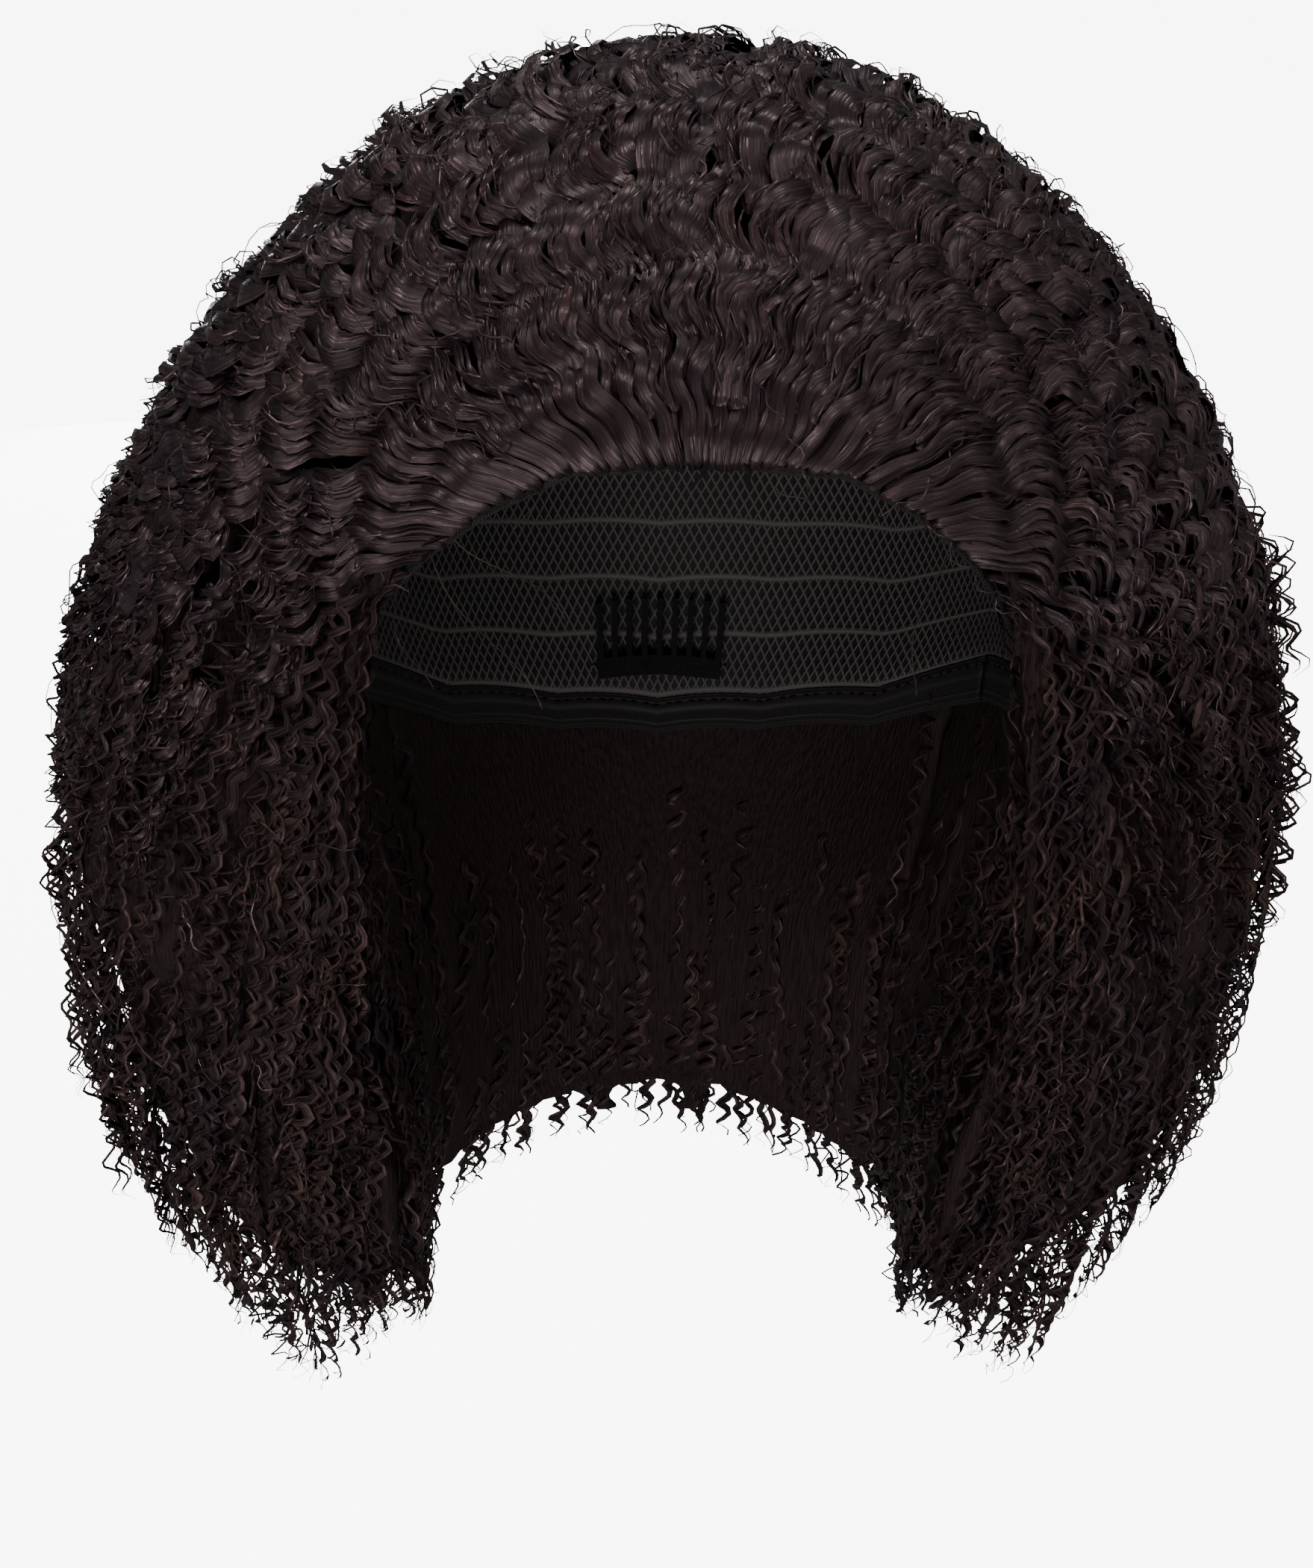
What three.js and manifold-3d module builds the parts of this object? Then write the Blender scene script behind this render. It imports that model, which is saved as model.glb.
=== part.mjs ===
// A half wig: a stretch-net cap with a bound edge and two combs, and tightly waved hair
// that is combed back from the hairline and hangs in locks round the sides and back.
// Millimetres, +Z up, the face looks along -Y. The origin is the seat, the point inside
// the crown of the cap that rests on the top of the head.
import * as THREE from "three";
import { mergeVertices } from "three/addons/utils/BufferGeometryUtils.js";
import Module from "manifold-3d";

const wasm = await Module();
wasm.setup();

// The head that the cap fits, measured from the seat and from the line over the ears.
const HEAD_HALF_WIDTH = 76;
const HEAD_FRONT = 88;
const HEAD_BACK = 98;
const HEAD_RISE = 118;

// The cap and its edge.
const CAP_WALL = 1.5;
const BAND_WIDTH = 9;
const EDGE_REVEAL = 1.5;
const SEAM_GAP = 0.4;

// Where the edge of the wig lies on the head: the angle down from the crown at each
// angle round from the face, from the hairline over the ears to the nape.
const EDGE = [
  { round: 0, down: 40 },
  { round: 30, down: 44 },
  { round: 45, down: 51 },
  { round: 58, down: 60 },
  { round: 70, down: 71 },
  { round: 85, down: 89 },
  { round: 100, down: 95 },
  { round: 130, down: 112 },
  { round: 156, down: 119.5 },
  { round: 180, down: 122 },
];

// The combs sewn inside the cap.
const COMB_LENGTH = 44;
const COMB_SPINE = 5;
const COMB_TOOTH = 17;
const COMB_TEETH = 9;
const COMB_TOOTH_WIDTH = 2;
const COMB_WALL = 1.6;
const COMB_INSET = 6;

// The outer form of the hair.
const HAIR_TOP = 29;
const HAIR_HALF_WIDTH = 146;
const HAIR_FRONT = 64;
const HAIR_BACK = 127;
const HAIR_CENTRE = 10;
const HAIR_WIDEST = 173;
const HAIR_DROP = 150;
const ROOT_LIFT = 9;
const CROWN_ROUND = 2;
const HEM_ROUND = 2.5;

// The room for the face and neck between the side curtains: each level is a share of
// the room's height, and the widths are shares of the head's own sizes.
const NECK_HEIGHT = 262;
const NECK_LEVELS = [
  { level: 0, wide: 1.03, back: 1.02 },
  { level: 0.2, wide: 0.96, back: 0.93 },
  { level: 0.4, wide: 0.83, back: 0.76 },
  { level: 0.6, wide: 0.84, back: 0.72 },
  { level: 0.8, wide: 1.0, back: 0.8 },
  { level: 1, wide: 1.14, back: 0.9 },
];
const FACE_EDGE_ROUND = 67;

// The locks, in rows from the hairline to the hem. Levels run from 0 at the top of the
// hair to 1 below it. Round angles are measured from the face, and a row is laid on
// both sides. Width, proud and wave are shares of LOCK_WIDTH.
const LOCK_WIDTH = 24;
const LOCK_WAVES = 2.5;
const LOCK_ROWS = [
  { from: 0.27, to: 0.12, first: 8, last: 56, count: 4, sweep: 34, wide: 1, proud: 0.2, wave: 0.12, hang: 0 },
  { from: 0.05, to: 0.25, first: 104, last: 168, count: 3, sweep: 0, wide: 1.2, proud: 0.28, wave: 0.14, hang: 0 },
  { from: 0.22, to: 0.44, first: 72, last: 172, count: 6, sweep: 0, wide: 1.3, proud: 0.3, wave: 0.16, hang: 0 },
  { from: 0.4, to: 0.61, first: 56, last: 174, count: 7, sweep: 0, wide: 1.4, proud: 0.3, wave: 0.18, hang: 0 },
  { from: 0.56, to: 0.75, first: 58, last: 174, count: 7, sweep: 0, wide: 1.4, proud: 0.3, wave: 0.18, hang: 0 },
  { from: 0.7, to: 0.83, first: 66, last: 172, count: 7, sweep: 0, wide: 1.2, proud: 0.26, wave: 0.14, hang: 1.1 },
];

// How the hair is divided: the crown above a level, its front before a line, and the
// back behind the ears.
const CROWN_SPLIT = 72;
const FRONT_SPLIT = 4;
const BACK_SPLIT = 118;
const SECTION_GAP = 0.5;

// How finely the shapes are faceted. The bands follow the cap's facets, and the front
// band ends so many of them to either side of the face.
const AROUND_CAP = 32;
const FRONT_BAND_FACETS = 9;
const DOWN_CAP = 8;
const DOWN_SPACE = 2;
const ARCH_STEPS = 22;
const AROUND_HAIR = 28;
const DOWN_HAIR = 14;
const LOCK_SIDES = 3;
const LOCK_STEPS = 5;
const FAR = 1000;

const at = (x, y, z) => new THREE.Vector3(x, y, z);
const HEAD_CENTRE = at(0, 0, -HEAD_RISE);
const DEG = Math.PI / 180;

// A value from a table of rows, straight between its neighbours.
function lookUp(table, key, column, value) {
  const last = table[table.length - 1];
  if (value <= table[0][key]) return table[0][column];
  for (let i = 1; i < table.length; i++) {
    const a = table[i - 1];
    const b = table[i];
    const share = (value - a[key]) / (b[key] - a[key]);
    if (share <= 1) return THREE.MathUtils.lerp(a[column], b[column], share);
  }
  return last[column];
}

// How far the head's surface is from its centre in a direction.
function headRadius(direction) {
  const depth = direction.y < 0 ? HEAD_FRONT : HEAD_BACK;
  return 1 / Math.hypot(direction.x / HEAD_HALF_WIDTH, direction.y / depth, direction.z / HEAD_RISE);
}

// The point at an angle down from the crown and an angle round from the face, so far
// outside the head.
function onHead(down, round, out) {
  const flat = Math.sin(down);
  const d = new THREE.Vector3(
    flat * Math.sin(round) * HEAD_HALF_WIDTH,
    -flat * Math.cos(round) * (Math.cos(round) > 0 ? HEAD_FRONT : HEAD_BACK),
    Math.cos(down) * HEAD_RISE,
  );
  const reach = d.length();
  return d.multiplyScalar((reach + out) / reach).add(HEAD_CENTRE);
}

// The angle down to the wig's edge, less so many millimetres towards the crown.
function edgeDown(round, back = 0) {
  const turned = Math.abs(Math.atan2(Math.sin(round), Math.cos(round)));
  const down = lookUp(EDGE, "round", "down", turned / DEG) * DEG;
  const reach = onHead(down, round, 0).distanceTo(HEAD_CENTRE);
  return down - back / reach;
}

// The hair's outer form at a level from 0, the top, to 1, the lowest point.
function hairSkin(level, round) {
  const turn = level * Math.PI;
  const upper = level < 0.5;
  const power = upper ? CROWN_ROUND : HEM_ROUND;
  const rise = Math.abs(Math.cos(turn));
  const flat = Math.abs(Math.sin(turn));
  const k = (rise ** power + flat ** power) ** (-1 / power);
  const height = upper ? HAIR_TOP + HAIR_WIDEST : -HAIR_DROP;
  const depth = Math.cos(round) > 0 ? HAIR_FRONT + HAIR_CENTRE : HAIR_BACK - HAIR_CENTRE;
  const p = new THREE.Vector3(
    HAIR_HALF_WIDTH * k * flat * Math.sin(round),
    HAIR_CENTRE - depth * k * flat * Math.cos(round),
    -HAIR_WIDEST + height * k * rise,
  );
  const out = p.clone().sub(HEAD_CENTRE);
  const least = headRadius(out.clone().normalize()) + ROOT_LIFT;
  return out.length() < least ? out.setLength(least).add(HEAD_CENTRE) : p;
}

// Moves every corner of a geometry to where a function of its old place puts it.
function shaped(geometry, place) {
  const corners = geometry.attributes.position;
  for (let i = 0; i < corners.count; i++) {
    const p = place(new THREE.Vector3().fromBufferAttribute(corners, i), i);
    corners.setXYZ(i, p.x, p.y, p.z);
  }
  return geometry;
}

// A closed geometry as a solid that can be joined and cut.
function solid(geometry) {
  geometry.deleteAttribute("normal");
  geometry.deleteAttribute("uv");
  const merged = mergeVertices(geometry, 1e-4);
  return new wasm.Manifold(
    new wasm.Mesh({
      numProp: 3,
      vertProperties: merged.attributes.position.array,
      triVerts: new Uint32Array(merged.index.array),
    }),
  );
}

// A solid as a named mesh.
function meshOf(name, made, material) {
  const m = made.getMesh();
  const corners = new Float32Array(m.numVert * 3);
  for (let i = 0; i < m.numVert; i++) {
    corners.set(m.vertProperties.subarray(i * m.numProp, i * m.numProp + 3), i * 3);
  }
  const geometry = new THREE.BufferGeometry();
  geometry.setAttribute("position", new THREE.BufferAttribute(corners, 3));
  geometry.setIndex(new THREE.BufferAttribute(new Uint32Array(m.triVerts), 1));
  geometry.computeVertexNormals();
  const mesh = new THREE.Mesh(geometry, material);
  mesh.name = name;
  return mesh;
}

// A ball of the given facets with its poles on Z. Each corner is placed by its row
// from the top and its angle round from the face.
function ballShape(around, rows, place) {
  const ball = new THREE.SphereGeometry(1, around, rows).rotateX(Math.PI / 2);
  return shaped(ball, (v, i) => place(Math.floor(i / (around + 1)), Math.atan2(v.x, -v.y), v));
}

// The angle down to the cap's own edge, where its band begins.
function capReach(round) {
  return edgeDown(round, BAND_WIDTH + SEAM_GAP);
}

// The net cap: an outer dome and an inner one that meet at the edge band.
function capShape() {
  return ballShape(AROUND_CAP, 2 * DOWN_CAP + 1, (row, round) => {
    const outside = row <= DOWN_CAP;
    const share = (outside ? row : 2 * DOWN_CAP + 1 - row) / DOWN_CAP;
    return onHead(share * capReach(round), round, outside ? CAP_WALL : 0);
  });
}

// A strip of the edge band between two of the cap's facet lines, with half a seam's
// gap left at either end.
function bandShape(first, last) {
  const facet = (2 * Math.PI) / AROUND_CAP;
  const trim = SEAM_GAP / 2 / HEAD_HALF_WIDTH / facet;
  return shaped(new THREE.BoxGeometry(1, 1, 1, last - first, 1, 1), (v) => {
    const line = THREE.MathUtils.lerp(first, last, v.x + 0.5);
    const round = THREE.MathUtils.clamp(line, first + trim, last - trim) * facet;
    return onHead(edgeDown(round, (v.y + 0.5) * BAND_WIDTH), round, v.z > 0 ? CAP_WALL : 0);
  });
}

// The most that the cap's flat facets lie inside its round form near a place.
function facetDip(place) {
  const reach = onHead(place.down, place.round, 0).distanceTo(HEAD_CENTRE);
  const turns = [Math.PI / AROUND_CAP, capReach(place.round) / DOWN_CAP / 2];
  return turns.reduce((sum, turn) => sum + reach * (1 - Math.cos(turn)), 0);
}

// A block of the comb: its middle and size are millimetres round and up from the
// comb's own place on the inside of the cap.
function combBlock(place, along, up, length, height) {
  const reach = onHead(place.down, place.round, 0).distanceTo(HEAD_CENTRE);
  const girth = Math.hypot(...onHead(place.down, place.round, 0).toArray().slice(0, 2));
  const steps = Math.max(1, Math.round(length / COMB_SPINE));
  const sunk = SEAM_GAP / 2 + facetDip(place);
  const rows = height > COMB_SPINE ? 2 : 1;
  return shaped(new THREE.BoxGeometry(length, height, 1, steps, rows, 1), (v) => {
    const round = place.round + (along + v.x) / girth;
    const down = place.down - (up + v.y) / reach;
    return onHead(down, round, v.z > 0 ? -sunk : -sunk - COMB_WALL);
  });
}

// A comb with its spine towards the cap's edge and its teeth towards the crown.
function combShape(round) {
  const place = { round, down: edgeDown(round, BAND_WIDTH + COMB_INSET) };
  let comb = solid(combBlock(place, 0, COMB_SPINE / 2, COMB_LENGTH, COMB_SPINE));
  const pitch = (COMB_LENGTH - COMB_TOOTH_WIDTH) / (COMB_TEETH - 1);
  for (let i = 0; i < COMB_TEETH; i++) {
    const along = -COMB_LENGTH / 2 + COMB_TOOTH_WIDTH / 2 + i * pitch;
    const tooth = combBlock(place, along, COMB_SPINE / 2 + COMB_TOOTH / 2, COMB_TOOTH_WIDTH, COMB_TOOTH);
    comb = comb.add(solid(tooth));
  }
  return comb;
}

// One lock lying on the hair's outer form: a tapered bundle that waves from side to
// side. A hanging lock leaves the form at its lower part and drops straight down.
function lockShape(row, round) {
  const width = LOCK_WIDTH * row.wide;
  const side = Math.sign(round);
  const line = (share) => {
    const level = row.from + (row.to - row.from) * share;
    const turned = round + side * row.sweep * DEG * share * (Math.abs(round) / (row.last * DEG));
    const p = hairSkin(level, turned);
    p.z -= row.hang * LOCK_WIDTH * share ** 3;
    return p;
  };
  const inner = new THREE.Vector3(0, HAIR_CENTRE, -HAIR_WIDEST);
  return shaped(new THREE.SphereGeometry(1, LOCK_SIDES, LOCK_STEPS).rotateX(Math.PI / 2), (v, i) => {
    const share = Math.floor(i / (LOCK_SIDES + 1)) / LOCK_STEPS;
    const middle = line(share);
    const ahead = line(share + 0.02).sub(line(share - 0.02)).normalize();
    const out = middle.clone().sub(inner).normalize();
    const across = new THREE.Vector3().crossVectors(ahead, out).normalize();
    out.crossVectors(across, ahead);
    const girth = Math.sin(Math.PI * share ** 0.8) ** 0.6 / (Math.hypot(v.x, v.y) || 1);
    const sway = row.wave * LOCK_WIDTH * Math.sin(2 * Math.PI * LOCK_WAVES * share + round * 7);
    return middle
      .addScaledVector(across, sway + (v.y * girth * width) / 2)
      .addScaledVector(out, -v.x * girth * row.proud * LOCK_WIDTH);
  });
}

// Where each row lays its locks, on both sides of the face.
function lockPlaces(row, index) {
  const places = [];
  for (let i = 0; i < row.count; i++) {
    const step = (row.last - row.first) / (row.count - 1);
    const shift = index % 2 ? -0.25 * step : 0.25 * step;
    const round = (row.first + i * step + (i > 0 && i < row.count - 1 ? shift : 0)) * DEG;
    places.push(round, -round);
  }
  return places;
}

// The hair's whole outer form with its locks fused on.
function hairMass() {
  let mass = solid(ballShape(AROUND_HAIR, DOWN_HAIR, (row, round) => hairSkin(row / DOWN_HAIR, round)));
  LOCK_ROWS.forEach((row, index) => {
    for (const round of lockPlaces(row, index)) mass = mass.add(solid(lockShape(row, round)));
  });
  return mass;
}

// The space that the capped head and the neck fill. Its left half is mirrored, so that
// the slanting facets by both temples are split across their short way.
function headSpace() {
  const head = ballShape(AROUND_CAP, DOWN_CAP + DOWN_SPACE + 1, (row, round) => {
    const edge = edgeDown(round, -SEAM_GAP);
    const below = (row - DOWN_CAP - 1) / DOWN_SPACE;
    const down = row <= DOWN_CAP ? (row / DOWN_CAP) * capReach(round) : edge + below * (Math.PI - edge);
    return onHead(down, round, CAP_WALL + SEAM_GAP);
  });
  const rows = NECK_LEVELS.length - 1;
  const neck = shaped(new THREE.CylinderGeometry(1, 1, 1, AROUND_CAP, rows).rotateX(Math.PI / 2), (v) => {
    const level = 0.5 - v.z;
    const wide = lookUp(NECK_LEVELS, "level", "wide", level) * HEAD_HALF_WIDTH;
    const back = lookUp(NECK_LEVELS, "level", "back", level) * HEAD_BACK;
    return new THREE.Vector3(wide * v.x, (v.y < 0 ? HEAD_FRONT : back) * v.y, -HEAD_RISE - level * NECK_HEIGHT);
  });
  const half = solid(head).intersect(farBlock(at(-FAR, -FAR, -FAR), at(SEAM_GAP, FAR, FAR)));
  return half.add(half.mirror([1, 0, 0])).add(solid(neck));
}

// The opening for the face: the hairline's arch seen from the front, and the inner
// edges of the side curtains below it, cut straight through towards the front.
function faceSpace() {
  const arch = [];
  for (let i = 0; i <= ARCH_STEPS; i++) {
    const round = (i / ARCH_STEPS * 2 - 1) * FACE_EDGE_ROUND * DEG;
    const p = onHead(edgeDown(round, EDGE_REVEAL), round, 0);
    arch.push(new THREE.Vector2(p.x, p.z));
  }
  const narrow = Math.cos((90 - FACE_EDGE_ROUND) * DEG) ** 0.5;
  const edges = NECK_LEVELS.filter((row) => row.level > 0).map((row) => ({
    x: row.wide * HEAD_HALF_WIDTH * narrow,
    z: -HEAD_RISE - row.level * NECK_HEIGHT,
  }));
  const right = edges.map((e) => new THREE.Vector2(e.x, e.z));
  const left = edges.map((e) => new THREE.Vector2(-e.x, e.z)).reverse();
  const outline = new THREE.Shape([...arch, ...right, ...left].reverse());
  const cut = new THREE.ExtrudeGeometry(outline, { depth: FAR, bevelEnabled: false, curveSegments: 1 });
  return solid(cut.rotateX(Math.PI / 2));
}

// A block that reaches far in every direction but the ones that it is limited in.
function farBlock(low, high) {
  const size = high.clone().sub(low);
  return solid(new THREE.BoxGeometry(size.x, size.y, size.z).translate(...low.clone().add(high).divideScalar(2).toArray()));
}

// The part of space between two angles round the head.
function wedge(first, last) {
  const outline = new THREE.Shape([
    new THREE.Vector2(0, 0),
    ...[first, (first + last) / 2, last].map((a) => new THREE.Vector2(Math.sin(a) * FAR, -Math.cos(a) * FAR)),
  ]);
  const block = new THREE.ExtrudeGeometry(outline, { depth: 2 * FAR, bevelEnabled: false });
  return solid(block.translate(0, 0, -FAR));
}

// The largest body of a cut solid, without the crumbs of locks that a cut leaves.
function largest(made) {
  return made.decompose().reduce((a, b) => (b.volume() > a.volume() ? b : a));
}

// The hair in its five sections.
function hairSections() {
  const mass = hairMass().subtract(headSpace()).subtract(faceSpace());
  const half = SECTION_GAP / 2;
  const crown = mass.intersect(farBlock(at(-FAR, -FAR, half - CROWN_SPLIT), at(FAR, FAR, FAR)));
  const curtain = mass.intersect(farBlock(at(-FAR, -FAR, -FAR), at(FAR, FAR, -half - CROWN_SPLIT)));
  const back = BACK_SPLIT * DEG;
  const slit = (sign) => {
    const strip = farBlock(at(-half, 0, -FAR), at(half, FAR, FAR));
    return strip.rotate([0, 0, sign * (180 - BACK_SPLIT)]);
  };
  const parted = curtain.subtract(slit(1)).subtract(slit(-1));
  return {
    front_hair: crown.intersect(farBlock(at(-FAR, -FAR, -FAR), at(FAR, FRONT_SPLIT - half, FAR))),
    crown_hair: crown.intersect(farBlock(at(-FAR, FRONT_SPLIT + half, -FAR), at(FAR, FAR, FAR))),
    right_hair: parted.intersect(wedge(0, back)),
    left_hair: parted.intersect(wedge(-back, 0)),
    back_hair: parted.intersect(wedge(back, 2 * Math.PI - back)),
  };
}

const hairFinish = new THREE.MeshStandardMaterial({ color: 0x241c1b, roughness: 0.55, metalness: 0 });
const netFinish = new THREE.MeshStandardMaterial({ color: 0x141212, roughness: 0.85, metalness: 0 });
const bandFinish = new THREE.MeshStandardMaterial({ color: 0x100e0e, roughness: 0.8, metalness: 0 });
const combFinish = new THREE.MeshStandardMaterial({ color: 0x0c0b0b, roughness: 0.4, metalness: 0 });

const wig = new THREE.Group();
wig.add(meshOf("net_cap", solid(capShape()), netFinish));
const napeEnd = AROUND_CAP - FRONT_BAND_FACETS;
wig.add(meshOf("front_band", solid(bandShape(-FRONT_BAND_FACETS, FRONT_BAND_FACETS)), bandFinish));
wig.add(meshOf("nape_band", solid(bandShape(FRONT_BAND_FACETS, napeEnd)), bandFinish));
wig.add(meshOf("front_comb", combShape(0), combFinish));
wig.add(meshOf("nape_comb", combShape(Math.PI), combFinish));
for (const [name, made] of Object.entries(hairSections())) wig.add(meshOf(name, largest(made), hairFinish));

export default wig;
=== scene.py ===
# %% [markdown]
# # A half wig of tightly waved hair
# The wig is a net cap with a bound edge, two small combs, and a large mass of crimped
# hair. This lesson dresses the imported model: the cap, the bands and the combs are
# modelled as they are made, and the hair is grown as thousands of waved ribbons and fine
# strands over a dark core. Everything is in metres, in the model's own frame: +Z is up,
# the open side looks along -Y, and the origin is the seat inside the crown.

# %% Load the frame
import math

import bmesh
import bpy
import numpy as np
from mathutils import Matrix, Vector


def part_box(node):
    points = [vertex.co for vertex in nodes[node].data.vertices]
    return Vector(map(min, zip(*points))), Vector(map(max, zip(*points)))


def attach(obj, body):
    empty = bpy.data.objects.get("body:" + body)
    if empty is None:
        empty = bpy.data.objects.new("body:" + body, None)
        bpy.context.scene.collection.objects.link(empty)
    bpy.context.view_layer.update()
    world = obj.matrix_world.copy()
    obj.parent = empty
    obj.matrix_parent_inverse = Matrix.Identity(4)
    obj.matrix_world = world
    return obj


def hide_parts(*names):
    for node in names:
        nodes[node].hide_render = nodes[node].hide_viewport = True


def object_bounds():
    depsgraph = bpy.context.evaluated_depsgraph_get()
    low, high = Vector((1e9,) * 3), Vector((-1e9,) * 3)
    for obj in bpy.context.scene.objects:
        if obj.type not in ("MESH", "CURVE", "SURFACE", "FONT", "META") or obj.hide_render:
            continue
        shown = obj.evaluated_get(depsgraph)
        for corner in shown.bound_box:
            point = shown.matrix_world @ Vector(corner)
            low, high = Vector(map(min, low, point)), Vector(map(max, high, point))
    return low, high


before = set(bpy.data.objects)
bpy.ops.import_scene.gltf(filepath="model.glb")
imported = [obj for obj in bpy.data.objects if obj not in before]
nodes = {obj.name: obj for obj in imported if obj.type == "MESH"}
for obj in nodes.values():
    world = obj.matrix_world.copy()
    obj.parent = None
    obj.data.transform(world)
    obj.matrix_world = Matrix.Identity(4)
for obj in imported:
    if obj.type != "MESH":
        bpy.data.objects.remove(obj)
cad_box = [list(corner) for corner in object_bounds()]
MM = 0.001
print("nodes:", sorted(nodes))

# %% [markdown]
# ## The camera
# The photograph looks down on the wig from the front. The view was found by fitting the
# hairline and its corners, and it is written as angles round the cap's middle, so that
# each number means something. The lens is shifted, as the photograph is a crop.

# %% Place the camera
CAP_CENTRE = Vector((0, 0, -118 * MM))
VIEW_DOWN = math.radians(32.2)
VIEW_TURN = math.radians(-4.0)
VIEW_ROLL = math.radians(2.3)
VIEW_DISTANCE = 560 * MM
LENS = 55.2
LENS_SHIFT = (-0.015, -0.0524)

backward = Vector(
    (
        math.sin(VIEW_TURN) * math.cos(VIEW_DOWN),
        -math.cos(VIEW_TURN) * math.cos(VIEW_DOWN),
        math.sin(VIEW_DOWN),
    )
)
level_right = (-backward).cross(Vector((0, 0, 1))).normalized()
level_up = level_right.cross(-backward)
right = math.cos(VIEW_ROLL) * level_right + math.sin(VIEW_ROLL) * level_up
upward = math.cos(VIEW_ROLL) * level_up - math.sin(VIEW_ROLL) * level_right

camera = bpy.data.objects.new("camera", bpy.data.cameras.new("camera"))
camera.matrix_world = Matrix.LocRotScale(
    CAP_CENTRE + backward * VIEW_DISTANCE,
    Matrix((right, upward, backward)).transposed(),
    None,
)
camera.data.lens = LENS
camera.data.shift_x, camera.data.shift_y = LENS_SHIFT
camera.data.clip_start = 0.01
bpy.context.collection.objects.link(camera)
bpy.context.scene.camera = camera

# %% [markdown]
# ## The stage
# A product shot of dark hair needs a white surround and broad lights: the white makes
# the outline readable, and broad lights put soft streaks on the crests of the waves.
# The floor lies well below, because the wig is held up where it is worn. The surround is
# bright to look at but gives only gentle light, as a far white wall does.

# %% Build the floor, the surround and the lights
FLOOR_DROP = 640 * MM
FLOOR_GLOW = 7.5
SURROUND_LIGHT, SURROUND_SEEN = 0.27, 8.0


def new_finish(name):
    """A new material, its node tree and its shader."""
    made = bpy.data.materials.new(name)
    made.use_nodes = True
    return made, made.node_tree, made.node_tree.nodes["Principled BSDF"]


floor_mesh = bmesh.new()
bmesh.ops.create_grid(floor_mesh, x_segments=1, y_segments=1, size=8)
bmesh.ops.translate(floor_mesh, verts=floor_mesh.verts, vec=(0, 0, -FLOOR_DROP))
floor = bpy.data.objects.new("floor", bpy.data.meshes.new("floor"))
floor_mesh.to_mesh(floor.data)
floor_mesh.free()
bpy.context.collection.objects.link(floor)
floor.visible_diffuse = False
floor.visible_glossy = False

floor_paint, _, paint = new_finish("pale_floor")
paint.inputs["Base Color"].default_value = (0.9, 0.9, 0.9, 1)
paint.inputs["Roughness"].default_value = 0.9
paint.inputs["Emission Color"].default_value = (1, 1, 1, 1)
paint.inputs["Emission Strength"].default_value = FLOOR_GLOW
floor.data.materials.append(floor_paint)

world = bpy.data.worlds.new("studio")
world.use_nodes = True
surround = world.node_tree.nodes["Background"]
surround.inputs["Color"].default_value = (1, 1, 1, 1)
ray = world.node_tree.nodes.new("ShaderNodeLightPath")
wall = world.node_tree.nodes.new("ShaderNodeMapRange")
wall.inputs["To Min"].default_value = SURROUND_LIGHT
wall.inputs["To Max"].default_value = SURROUND_SEEN
world.node_tree.links.new(ray.outputs["Is Camera Ray"], wall.inputs["Value"])
world.node_tree.links.new(wall.outputs["Result"], surround.inputs["Strength"])
bpy.context.scene.world = world


def soft_light(name, place, size, power):
    """An area light that looks at the middle of the wig."""
    data = bpy.data.lights.new(name, "AREA")
    data.shape = "DISK"
    data.size = size
    data.energy = power
    lamp = bpy.data.objects.new(name, data)
    aim = CAP_CENTRE - Vector(place)
    lamp.matrix_world = Matrix.LocRotScale(place, aim.to_track_quat("-Z", "Y"), None)
    bpy.context.collection.objects.link(lamp)


soft_light("key", (-0.65, -0.7, 1.15), 0.26, 10)
soft_light("fill", (0.9, -0.9, 0.7), 0.8, 6.5)
soft_light("top", (0.1, 0.5, 1.3), 0.4, 8)
soft_light("back", (-0.2, 1.3, -0.3), 0.8, 8)
soft_light("low", (-0.25, -1.25, -0.45), 0.7, 12)

# %% [markdown]
# ## The room inside
# The cap follows an ellipsoid that is deeper at the back. Its edge is a line round that
# ellipsoid, given as the angle down from the crown at each angle round from the front.
# The same table shapes the net, the bands and the line where the hair is rooted, so they
# all meet. Below the cap, the room narrows and then widens again.

# %% Describe the cap's inside and its edge
CAP_HALF_WIDTH = 76 * MM
CAP_FRONT = 88 * MM
CAP_BACK = 98 * MM
CAP_RISE = 118 * MM
CAP_WALL = 1.5 * MM
BAND_WIDTH = 9 * MM
FRONT_BAND_SPAN = 101.25
EDGE_ROUND = (0, 30, 45, 58, 70, 85, 100, 130, 156, 180)
EDGE_DOWN = (40, 44, 51, 60, 71, 89, 95, 112, 119.5, 122)
ROOM_HEIGHT = 262 * MM
ROOM_LEVEL = (0, 0.2, 0.4, 0.6, 0.8, 1)
ROOM_WIDE = (1.03, 0.96, 0.83, 0.84, 1.0, 1.14)
ROOM_BACK = (1.02, 0.93, 0.76, 0.72, 0.8, 0.9)
cap_middle = np.array(CAP_CENTRE)


def points(x, y, z):
    return np.stack(np.broadcast_arrays(x, y, z), axis=-1)


def unit(vectors):
    return vectors / np.maximum(np.linalg.norm(vectors, axis=-1, keepdims=True), 1e-9)


def ease(low, high, value):
    share = np.clip((value - low) / (high - low), 0, 1)
    return share * share * (3 - 2 * share)


def on_cap(down, turn, out=0.0):
    """The point at an angle down from the crown and round from the front."""
    flat = np.sin(down)
    depth = np.where(np.cos(turn) > 0, CAP_FRONT, CAP_BACK)
    arm = points(
        flat * np.sin(turn) * CAP_HALF_WIDTH,
        -flat * np.cos(turn) * depth,
        np.cos(down) * CAP_RISE,
    )
    return arm + unit(arm) * np.asarray(out)[..., None] + cap_middle


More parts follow.
